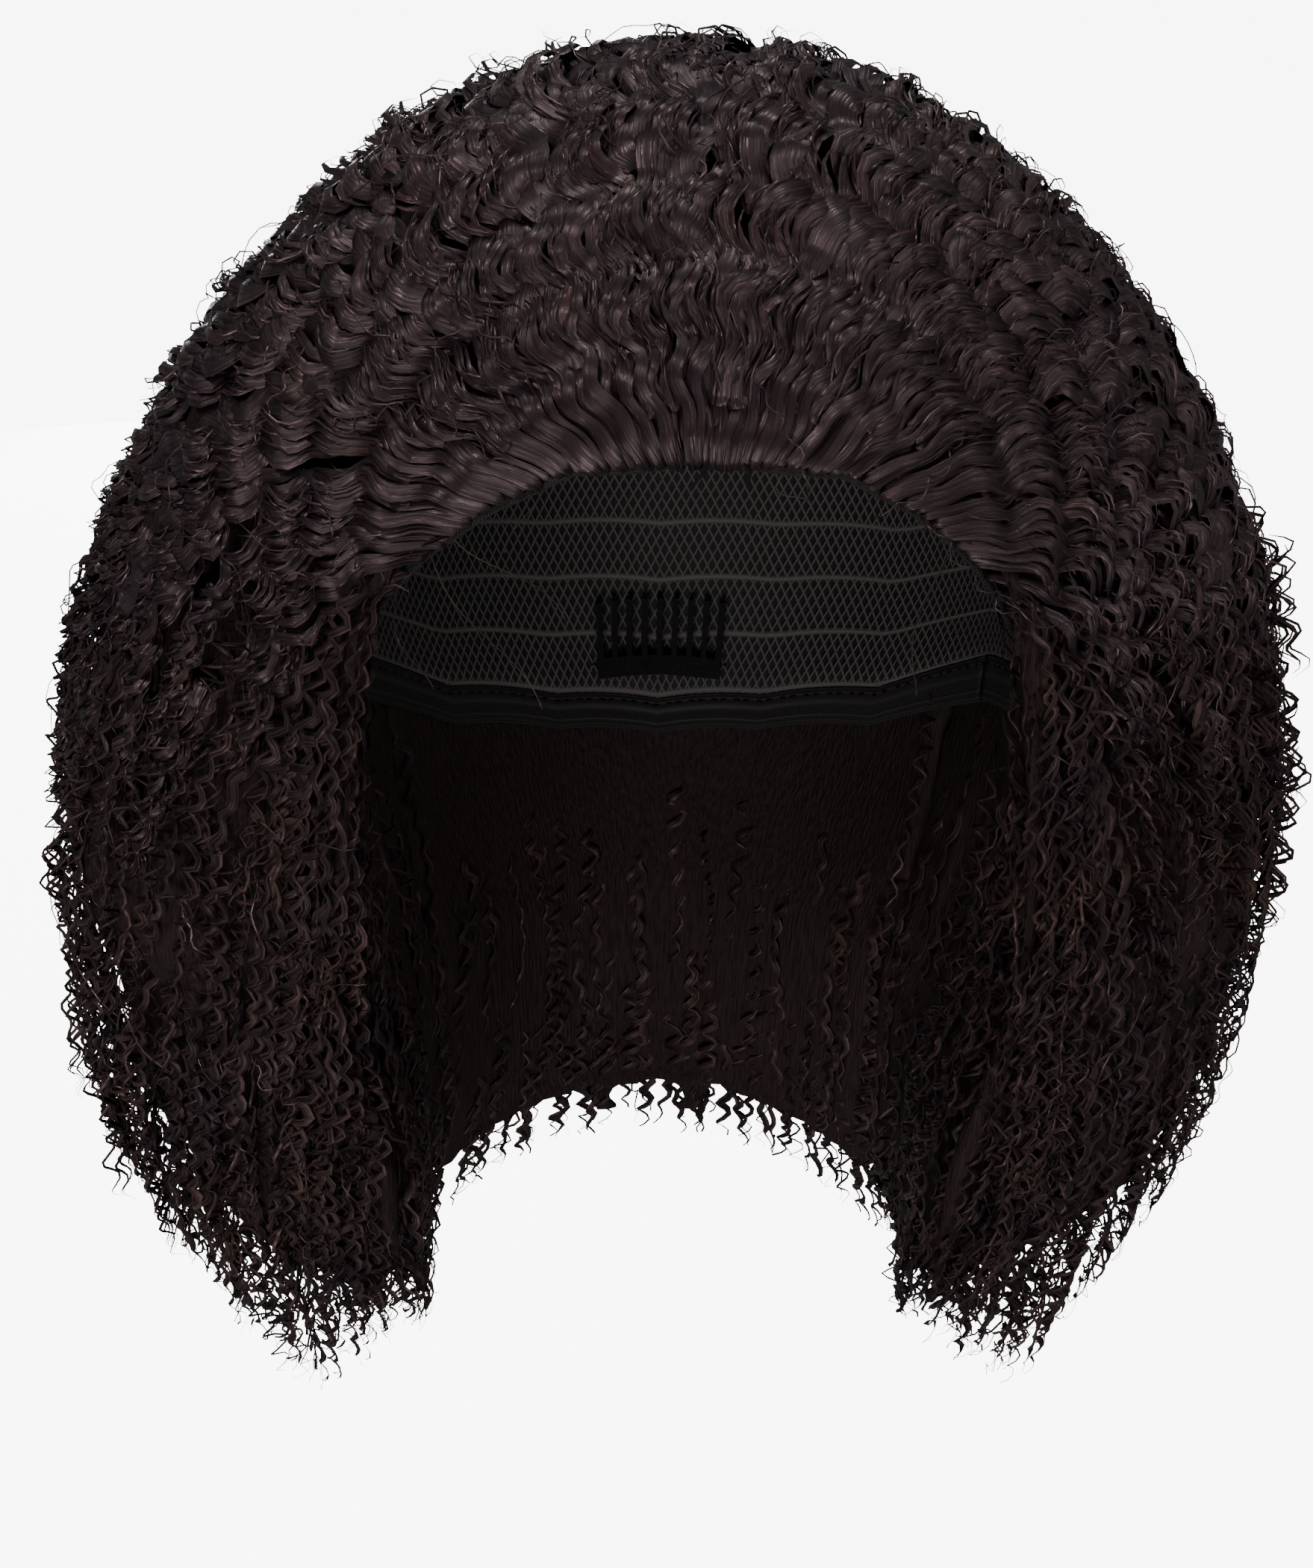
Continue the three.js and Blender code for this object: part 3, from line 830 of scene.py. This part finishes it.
# %% Mould and sew the combs
comb_finish, comb_tree, comb_shader = new_finish("comb_plastic")
comb_where = node(comb_tree, "ShaderNodeTexCoord").outputs["Object"]
scuffs = stretched_noise(comb_tree, comb_where, (300, 900, 300), 3.0)
worn = ramp_between(comb_tree, scuffs, 0.3, 0.7, (0.22, 0.22, 0.22), (0.5, 0.5, 0.5))
black = ramp_between(comb_tree, scuffs, 0.3, 0.8, (0.004, 0.004, 0.004), (0.012, 0.011, 0.011))
comb_tree.links.new(worn, comb_shader.inputs["Roughness"])
comb_tree.links.new(black, comb_shader.inputs["Base Color"])


def moulded_comb(name, solid, turn):
    """A bevelled copy of a comb's solid, and the loops of thread that hold it."""
    comb = bmesh.new()
    comb.from_mesh(nodes[solid].data)
    bmesh.ops.remove_doubles(comb, verts=comb.verts, dist=MERGE)
    bmesh.ops.dissolve_limit(comb, angle_limit=math.radians(5), verts=comb.verts, edges=comb.edges)
    crisp = [e for e in comb.edges if e.is_manifold and e.calc_face_angle(0) > math.radians(40)]
    bmesh.ops.bevel(
        comb, geom=crisp, offset=0.3 * MM, segments=2, profile=0.5,
        affect="EDGES", clamp_overlap=True, material=-1,
    )
    faces = len(comb.faces)
    spine = on_cap(edge_down(turn, BAND_WIDTH + 8.5 * MM), turn, -1.6 * MM)
    upright = Vector(unit(spine - cap_middle)).to_track_quat("Z", "X")
    size = Matrix.Diagonal((0.4 * MM, 0.4 * MM, 2.2 * MM, 1))
    for k in range(6):
        place = Vector(spine) + Vector(((k - 2.5) * 7.2 * MM, 0, 0))
        loop = Matrix.Translation(place) @ upright.to_matrix().to_4x4() @ size
        bmesh.ops.create_icosphere(comb, subdivisions=2, radius=1, matrix=loop)
    mesh = bpy.data.meshes.new(name)
    for k, face in enumerate(comb.faces):
        face.material_index = int(k >= faces)
    comb.to_mesh(mesh)
    comb.free()
    mesh.materials.append(comb_finish)
    mesh.materials.append(thread_finish)
    made = add_piece(name, mesh)
    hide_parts(solid)
    print(name, len(mesh.polygons), "faces")


moulded_comb("front_moulded_comb", "front_comb", 0.0)
moulded_comb("nape_moulded_comb", "nape_comb", math.pi)

# %% [markdown]
# ## The waved locks of the front and the crown
# On top the hair is combed back and crimped: locks swing from side to side about every
# 13 mm, and each tucks under the next one. One guide path is traced for a lock. A few
# broad ribbons keep to it with the same wave, and fine strands wander over them. All
# locks share one slowly changing phase, so that their crests meet in rows. The wave is
# weak at the root, where the hair is combed flat, and at the bound edge it starts as
# single ribbons. Wide locks lie under the others, and four loose tufts stand up behind.

# %% Lay the waved locks
CRIMP = 13 * MM
HAIRLINE_ARM = 70 * MM


def resample(path, out, length, gap):
    """The path and its outward directions at even gaps, up to a length."""
    reach = np.concatenate(([0], np.cumsum(np.linalg.norm(np.diff(path, axis=0), axis=1))))
    s = np.arange(0, min(length, reach[-1]), gap)
    pick = lambda a: np.stack([np.interp(s, reach, a[:, i]) for i in range(3)], axis=-1)
    return pick(path), unit(pick(out)), s


def drift(s, amount):
    """A slow random sway along a path."""
    a, b = dice.uniform(0, 2 * np.pi, 2)
    return amount * (0.7 * np.sin(s / (17 * MM) + a) + 0.5 * np.sin(s / (9 * MM) + b))


SWELL_WAYS = dice.normal(0, 1, (5, 3)) / (26 * MM)
SWELL_STARTS = dice.uniform(0, 2 * np.pi, 5)


def swell(p):
    """A smooth random phase over the hair, so that neighbouring locks wave together."""
    return 1.2 * np.sin(p @ SWELL_WAYS.T + SWELL_STARTS).sum(axis=-1)


def waved_lock(
    ribbons, path, out, length, count, strands, half, swing, sleek, lift, dip,
    crimp=CRIMP, loose=0.0, fine_width=(0.34, 0.58), bulge=0.8,
):
    """One crimped lock: broad ribbons side by side, and fine strands over them."""
    p, n, s = resample(path, out, length, crimp / 6)
    if len(s) < 10:
        return
    side = unit(np.cross(unit(np.gradient(p, axis=0)), n))
    full = ease(0, sleek, s)
    share = s / s[-1]
    begun = np.linalg.norm(p[0] - COMBED_FROM) / CRIMP
    phase = 2 * np.pi * (s / crimp + begun) + swell(p) + dice.normal(0, 0.35 + 0.65 * loose)
    height = dip * (1 - ease(0, 22 * MM, s)) + lift * ease(0.25, 0.9, share)
    middle = p + n * height[:, None] + side * (drift(s, (2.4 + 2 * loose) * MM) * full)[:, None]
    gather = 1 - 0.3 * ease(0.45, 1.0, share)
    for i in range(count + strands):
        fine = i >= count
        if fine:
            across = dice.uniform(-1.2, 1.2)
        else:
            across = (i + 0.5) / count * 2 - 1 + dice.uniform(-0.2, 0.2)
        stack = dice.uniform(-0.8, 1.6) * MM * max(1 - across**2, 0) + (1.2 * MM if fine else 0)
        own = phase + dice.normal(0, 0.5 if fine else 0.2) + 0.5 * across
        sway = swing * full * np.sin(own) * dice.uniform(0.75, 1.25)
        bob = bulge * swing * full * np.cos(own + 0.5)
        shift = half * across * gather + sway + (drift(s, 1.6 * MM) * full if fine else 0)
        above = stack + bob + (drift(s, 1.1 * MM) * full if fine else 0)
        line = middle + side * shift[:, None] + n * above[:, None]
        first = int(len(s) * dice.uniform(0, 0.4)) if fine and sleek < 25 * MM else 0
        cut = int(len(s) * dice.uniform(0.8, 1.0))
        if cut - first < 6:
            continue
        reach = np.linspace(0, 1, cut - first)
        root = 0.3 if sleek < 25 * MM else 0.75
        taper = np.clip((1 - reach) * 2.6, 0.12, 1) * np.clip(root + reach * 6, 0, 1)
        roll = unit(n + side * (0.45 * np.sin(0.5 * own + i))[:, None])
        if fine:
            wide = dice.uniform(*fine_width) * MM * taper
        else:
            wide = half * 2 / count * dice.uniform(0.95, 1.5) * taper
        ribbons.add(line[first:cut], roll[first:cut], wide, wide * (0.8 if fine else 0.2))


# %% Grow them from the hairline back
TUFTS = onto_form(np.array(((28, 51, 13), (72, 46, -7), (96, 42, -28), (-60, 44, -4))) * MM)


def comb_back(ribbons, starts, low, high, swing, count, strands, half):
    """Waved locks from these starts over the top of the form."""
    paths, outs, lasts = falls(starts, TOP_SHARE, 34, 0.03)
    beyond, _ = off_edge(starts)
    for path, out, last, far in zip(paths, outs, lasts, beyond):
        near = 1 - ease(10 * MM, 45 * MM, far)
        lower = float(ease(-20 * MM, -80 * MM, path[0, 2]))
        loose = float(ease(25 * MM, 90 * MM, far))
        to_tufts = ((TUFTS - path[0]) ** 2).sum(axis=1)
        tuft = 3.5 * MM * float(np.exp(-to_tufts / (12 * MM) ** 2).max())
        length = dice.uniform(low, high)
        wide = half * dice.uniform(0.7, 1.3) * (1 - 0.4 * lower)
        sway = swing * dice.uniform(0.75, 1.3)
        lift = dice.uniform(-1.5, 2.4 + 1.6 * loose) * (1 - 0.6 * near) * (1 - 0.5 * lower) * MM
        waved_lock(
            ribbons, path[: last + 1], out[: last + 1], length, count, strands, wide, sway,
            (10 + 18 * near) * MM, lift + tuft, -2.4 * MM, CRIMP * (1 - 0.3 * lower), loose,
        )


def hairline_locks(ribbons, rows, gap):
    """Sleek locks that start at the bound edge and rise off the cap."""
    for row in range(rows):
        near, bars = (gap, (3, 2)) if row else (gap * 0.34, (1, 0))
        turns = np.arange(-1.62, 1.62, near / HAIRLINE_ARM) + row * 0.4 * gap / HAIRLINE_ARM
        turns = turns + dice.normal(0, 0.3, len(turns)) * near / HAIRLINE_ARM
        rounded = 2.4 * MM * np.exp(-((turns / 0.16) ** 2))
        back = (0.3 + 5 * row) * MM - rounded
        roots = on_cap(edge_down(turns, back), turns, CAP_WALL + 0.6 * MM)
        starts = onto_form(roots, 1.0, 5)
        paths, outs, lasts = falls(starts, 1.0, 26, 0.03)
        for root, path, out, last in zip(roots, paths, outs, lasts):
            drop = root - path[0]
            s = np.arange(len(path)) * TRACE_STEP
            path = path + drop * np.exp(-s / (10 * MM))[:, None] - out * 1.2 * MM
            waved_lock(
                ribbons, path, out, dice.uniform(30, 60) * MM, *bars, bars[0] * 1.1 * MM,
                1.8 * MM, 30 * MM, dice.uniform(-1, 2) * MM, 0.0,
            )


def on_top(p):
    """True where the form carries the front or crown locks."""
    beyond, turn = off_edge(p)
    level = dice.uniform(-128, -72, len(p)) * MM
    return (p[:, 2] > level) & ((beyond > 4 * MM) | (np.abs(turn) > 1.3))


def underlay(ribbons, starts):
    """Wide flat locks under the others, so that no gap opens between two waves."""
    paths, outs, lasts = falls(starts, TOP_SHARE, 22, 0.03)
    for path, out, last in zip(paths, outs, lasts):
        waved_lock(
            ribbons, path[: last + 1], out[: last + 1], dice.uniform(36, 56) * MM, 2, 0, 6 * MM,
            1.6 * MM, 12 * MM, -1.2 * MM, -1.6 * MM, CRIMP, 1.0,
        )


def upper(p):
    """True on the upper part, away from the hairline."""
    return (p[:, 2] > -60 * MM) & (off_edge(p)[0] > 22 * MM)


front_starts = skin_points(TOP_SHARE, 9.5 * MM, lambda p: on_top(p) & (p[:, 1] < 6 * MM))
crown_starts = skin_points(TOP_SHARE, 10.6 * MM, lambda p: on_top(p) & (p[:, 1] > 2 * MM))
print("waved locks:", len(front_starts), "in front and", len(crown_starts), "behind")

hairline = Ribbons()
hairline_locks(hairline, 3, 5.6 * MM)
# The hairline's locks wear the darker finish with painted shade.
hairline.piece("hairline_waves", shaded_hair_finish)

front = Ribbons()
comb_back(front, front_starts, 30 * MM, 55 * MM, 2.3 * MM, 3, 3, 4.4 * MM)
front.piece("front_waves", top_finish)

under = Ribbons()
underlay(under, skin_points(TOP_SHARE, 12.5 * MM, upper))
# The wide locks underneath wear the darker finish with painted shade.
under.piece("crown_underlay", shaded_hair_finish)

crown = Ribbons()
comb_back(crown, crown_starts, 30 * MM, 52 * MM, 2.3 * MM, 3, 1, 4.4 * MM)
crown.piece("crown_waves", top_finish)

# %% [markdown]
# ## The curls of the sides and the back
# Lower down the hair hangs as narrow crimped curls, a turn to every 7 or 8 mm. They
# start at several depths in the mass and hang until they come out of its form, so that
# the edge and the hem end in loose tips with light between them. A curl is a ribbon, or
# a fine strand that swings wider, which gives the airy outline. Beside the opening the
# ribbons are narrower. At the widest part some locks stand off the mass.

# %% Hang the curls
CURL = 7.6 * MM
RIBBON, NARROW, STRAND = (1.5, 2.8), (1.0, 1.9), (0.45, 0.9)


def curl(ribbons, path, out, length, widths):
    """One hanging curl that tapers to its tip."""
    pitch = CURL * dice.uniform(0.85, 1.25)
    p, n, s = resample(path, out, length, pitch / 5.3)
    if len(s) < 9:
        return
    side = unit(np.cross(unit(np.gradient(p, axis=0)), n))
    spin = 2 * np.pi * (s - p[0, 2]) / pitch + swell(p) + dice.normal(0, 1.1)
    size = dice.uniform(1.3, 2.2) * MM * (1.4 if widths == STRAND else 1)
    size = size * (0.85 + 0.35 * np.sin(s / (13 * MM) + dice.uniform(0, 6.28)))
    size = size * ease(-4 * MM, 10 * MM, s)
    zigzag = np.arcsin(0.85 * np.sin(spin)) / 1.02
    lean = dice.normal(0, 1.0 if widths == STRAND else 0.25)
    line = p + side * (size * zigzag * math.cos(lean) + drift(s, 2.4 * MM))[:, None]
    rise = size * (zigzag * math.sin(lean) + 0.4 * np.cos(spin))
    rooted = -6 * MM * (1 - ease(0, 14 * MM, s))
    line = line + n * (rise + rooted + drift(s, 1.2 * MM))[:, None]
    taper = np.clip((1 - s / s[-1]) * 4, 0.25, 1) * np.clip(0.2 + s / (8 * MM), 0, 1)
    wide = dice.uniform(*widths) * MM * taper
    roll = unit(n + side * (0.35 * np.sin(0.5 * spin))[:, None])
    ribbons.add(line, roll, wide, wide * (0.8 if widths == STRAND else 0.22))


def section_of(p):
    """Which section each point belongs to, by its angle round from the front."""
    turn = np.degrees(np.arctan2(p[:, 0], -p[:, 1]))
    return np.where(np.abs(turn) > 118, "back", np.where(turn > 0, "right", "left"))


def below(p, top):
    """True under a level, above the hem, and away from the opening's edge."""
    return (p[:, 2] < top) & (p[:, 2] > -268 * MM) & ~in_room(p, 9 * MM)


curls = {"right": Ribbons(), "left": Ribbons(), "back": Ribbons()}
# For each layer: its share of the form, the spacing, the lengths and the highest start.
LAYERS = (
    (1.00, 9.4 * MM, 40 * MM, 85 * MM, -60 * MM),
    (0.965, 12 * MM, 50 * MM, 95 * MM, -60 * MM),
    (0.91, 13 * MM, 60 * MM, 100 * MM, -205 * MM),
    (0.83, 15 * MM, 60 * MM, 100 * MM, -215 * MM),
)
BACK_SHARE = 0.69

for share, spacing, short, long, top in LAYERS:
    starts = skin_points(share, spacing, lambda p: below(p, top))
    paths, outs, lasts = falls(starts, share, 50, 0.02)
    for path, out, last, where in zip(paths, outs, lasts, section_of(starts)):
        if last > 6 and (where != "back" or dice.random() < BACK_SHARE):
            widths = STRAND if dice.random() < 0.52 else RIBBON
            length = dice.uniform(short, long)
            curl(curls[where], path[: last + 1], out[: last + 1], length, widths)

# %% Hang the curls beside the opening
def curtain_starts(count, share):
    """Places just outside the opening's edge, on a share of the form."""
    z = (-262 + 208 * dice.uniform(0, 1, count) ** 0.8) * MM
    x = opening_width(z) + 0.8 * MM + 23 * MM * dice.uniform(0, 1, count) ** 1.5
    x = x * dice.choice((-1, 1), count)
    p = onto_form(points(x, -50 * MM, z), share, 5)
    return thinned(p[~in_room(p, 0.5 * MM) & (p[:, 1] < 0)], 5.3 * MM)


CURTAIN_STEPS = 45
fade = np.exp(-np.arange(CURTAIN_STEPS + 1) * TRACE_STEP / (9 * MM))
tuck = fade[:, None] * (4 * MM, 8 * MM, 0)

for share in (1.0, 0.94, 0.87):
    starts = curtain_starts(560, share)
    paths, outs, lasts = falls(starts, share, CURTAIN_STEPS, 0.02, weight=7.0)
    for path, out, last, where in zip(paths, outs, lasts, section_of(starts)):
        if last > 6:
            path = path + tuck * (np.sign(path[0, 0]), 1, 0)
            widths = STRAND if dice.random() < 0.25 else NARROW
            length = dice.uniform(40, 90) * MM
            curl(curls[where], path[: last + 1], out[: last + 1], length, widths)

# %% Let some locks stand off the sides
def at_the_side(p):
    """True round the widest part: high on the right, low on the left, as it was combed."""
    turn = np.degrees(np.arctan2(np.abs(p[:, 0]), -p[:, 1]))
    high = (p[:, 2] < -65 * MM) & (p[:, 2] > -140 * MM) & (p[:, 0] > 0)
    low = (p[:, 2] < -150 * MM) & (p[:, 2] > -235 * MM) & (p[:, 0] < 0)
    return (turn > 65) & (turn < 120) & (high | low)


side_starts = skin_points(1.0, 17 * MM, at_the_side)
paths, outs, lasts = falls(side_starts, 1.0, 26, 0.02)
for path, out, last, where in zip(paths, outs, lasts, section_of(side_starts)):
    p, n = path[: last + 1], out[: last + 1]
    s = np.arange(len(p)) * TRACE_STEP
    p = p + n * (dice.uniform(0, 3) * MM * ease(0, 15 * MM, s))[:, None]
    across = unit(np.cross(n, DOWN))
    wave = 1.0 if p[0, 0] > 0 else 0.6
    waved_lock(
        curls[where], p, across, dice.uniform(35, 65) * MM, 0, 4, 1.6 * MM,
        dice.uniform(2.0, 3.2) * wave * MM, 10 * MM, 0.0, 0.0,
        crimp=(8 + 3 * wave) * MM, fine_width=(0.6, 1.0), bulge=0.25,
    )
print("locks that stand off:", len(side_starts))

for where, ribbons in curls.items():
    ribbons.piece(where + "_curls", side_finish)

# %% [markdown]
# ## The curls inside
# The inner faces of the mass are seen through the opening and from below. They are hung
# with a single layer of curls, in columns down the sides and round the back.

# %% Hang the inner curls
ROUND_BACK = 0.55


def inner_wall(along, z):
    """A point of the room's wall and the direction into the room, by a share round it."""
    wide, back = room_below(z)
    sign = 1.0 if along > 0 else -1.0
    if abs(along) > ROUND_BACK:
        y = -(abs(along) - ROUND_BACK) / 0.45 * 52 * MM
        x = np.maximum(wide * (1 - (y / CAP_FRONT) ** 2) ** 0.5, opening_width(z))
        return points(sign * x, y, z), points(-sign, 0, 0 * z)
    angle = along / ROUND_BACK * np.pi / 2
    p = points(np.sin(angle) * wide, np.cos(angle) * back, z)
    return p, points(-np.sin(angle), -np.cos(angle), 0 * z)


inner = Ribbons()
flank = ROUND_BACK + 0.45 * np.linspace(0.06, 1, 14) ** 0.7
for along in np.concatenate((-flank, np.linspace(-ROUND_BACK, ROUND_BACK, 41), flank)):
    for top in (-120 * MM, -180 * MM, -235 * MM, -262 * MM):
        begin = top - dice.uniform(0, 30) * MM
        too_high = abs(along) < 0.4 and begin > -185 * MM
        too_low = abs(along) > ROUND_BACK and top < -250 * MM
        if too_high or too_low:
            continue
        z = begin - np.arange(0, 105 * MM, TRACE_STEP)
        p, n = inner_wall(along + dice.normal(0, 0.012), z)
        p = p + n * 0.8 * MM
        over = form(p) > 1.02 + hem(p)
        last = np.argmax(over) if over.any() else len(z)
        if last > 6:
            widths = STRAND if dice.random() < 0.25 else RIBBON
            curl(inner, p[:last], n[:last], dice.uniform(60, 100) * MM, widths)
inner.piece("inner_curls", side_finish)

# %% [markdown]
# ## Stray hairs and thread ends
# Single hairs work loose all over: they lie across the waves, stand off the outline, and
# a few hang over the front edge. Two short ends of thread are left at the middle of
# the bound edge, where its binding starts and stops.

# %% Scatter the stray hairs
def stray(ribbons, root, out, ahead, length, rise, coil):
    """One loose hair: it wanders, curls, and rises off the mass."""
    s = np.arange(0, length, (1.5 if coil else 2.6) * MM)
    side = unit(np.cross(ahead, out))
    pitch = dice.uniform(6, 9) * MM if coil else dice.uniform(10, 20) * MM
    spin = 2 * np.pi * s / pitch + dice.uniform(0, 6.28)
    size = dice.uniform(0.8, 2.0) * MM * ease(0, 8 * MM, s)
    bow = dice.uniform(-0.5, 0.5) * s**2 / (40 * MM)
    path = root + ahead * s[:, None] + side * (size * np.cos(spin) + bow)[:, None]
    height = rise * np.sin(np.pi * (s / length) ** 0.8) + size * np.sin(spin) * (0.9 if coil else 0.3)
    path = onto_form(path, 0.99, 2) + out * height[:, None]
    wide = np.full(len(s), dice.uniform(0.24, 0.4) * MM)
    wide[-2:] *= 0.5
    ribbons.add(path, np.broadcast_to(out, path.shape), wide, wide * 0.8)


strays = Ribbons()
stray_starts = skin_points(1.0, 8 * MM, lambda p: p[:, 2] > -250 * MM, 50000)
stray_paths, stray_outs, _ = falls(stray_starts, 1.0, 2, 0.03)
for path, out in zip(stray_paths, stray_outs):
    if dice.random() < 0.3:
        lie = unit(path[2] - path[0])
        lean = dice.normal(0, 0.7)
        ahead = unit(lie * math.cos(lean) + np.cross(out[0], lie) * math.sin(lean))
        coil = dice.random() < 0.4
        length, rise = dice.uniform(14, 36) * MM, dice.uniform(0.5, 5.5) * MM
        stray(strays, path[0], out[0], ahead, length, rise, coil)

for tuft in np.repeat(TUFTS, 12, axis=0):
    out = unit(slope(tuft[None]))[0]
    ahead = unit(np.cross(out, dice.normal(0, 1, 3)))
    length, rise = dice.uniform(12, 20) * MM, dice.uniform(3, 8) * MM
    stray(strays, tuft - ahead * 6 * MM, out, ahead, length, rise, True)

# Hairs at the front edge: the turn where each is rooted, its length and its lean.
EDGE_HAIRS = (
    (-1.0, 42, 0.5), (-0.93, 30, 0.9), (-0.62, 14, -0.3),
    (0.95, 34, -0.2), (0.3, 9, 0.4), (-1.1, 26, 0.2),
)
FORWARD = np.array((0.0, -1, 0.3))
for turn, length, lean in EDGE_HAIRS:
    root = on_cap(edge_down(turn, 2 * MM), turn, CAP_WALL)
    s = np.arange(0, length * MM, 1.5 * MM)
    loop = s / (length * MM) * 5 + turn * 9
    swing = np.outer(3 * MM * (np.sin(loop) - np.sin(loop[0])), (0.8, 0, 0.5))
    path = root + np.outer(s, unit(np.array((lean, -0.35, -0.8)))) + swing
    wide = np.full(len(s), 0.26 * MM)
    strays.add(path, np.broadcast_to(FORWARD, path.shape), wide, wide)
strays.piece("stray_hairs", top_finish)

# %% Leave the thread ends
ends = Ribbons()
for turn, length, lean in ((-0.01, 6.5 * MM, -0.35), (0.13, 5 * MM, 0.25)):
    root = on_cap(edge_down(turn, 0.4 * MM), turn, CAP_WALL)
    s = np.linspace(0, length, 9)
    swing = np.outer(0.6 * MM * np.sin(s / length * 5), (1, 0, 0))
    path = root + np.outer(s, (lean, -0.55, -0.75)) + swing
    wide = np.linspace(1.1, 0.5, 9) * MM
    ends.add(path, np.broadcast_to(FORWARD, path.shape), wide, wide * 0.8)
ends.piece("thread_ends", thread_finish, slot="band")
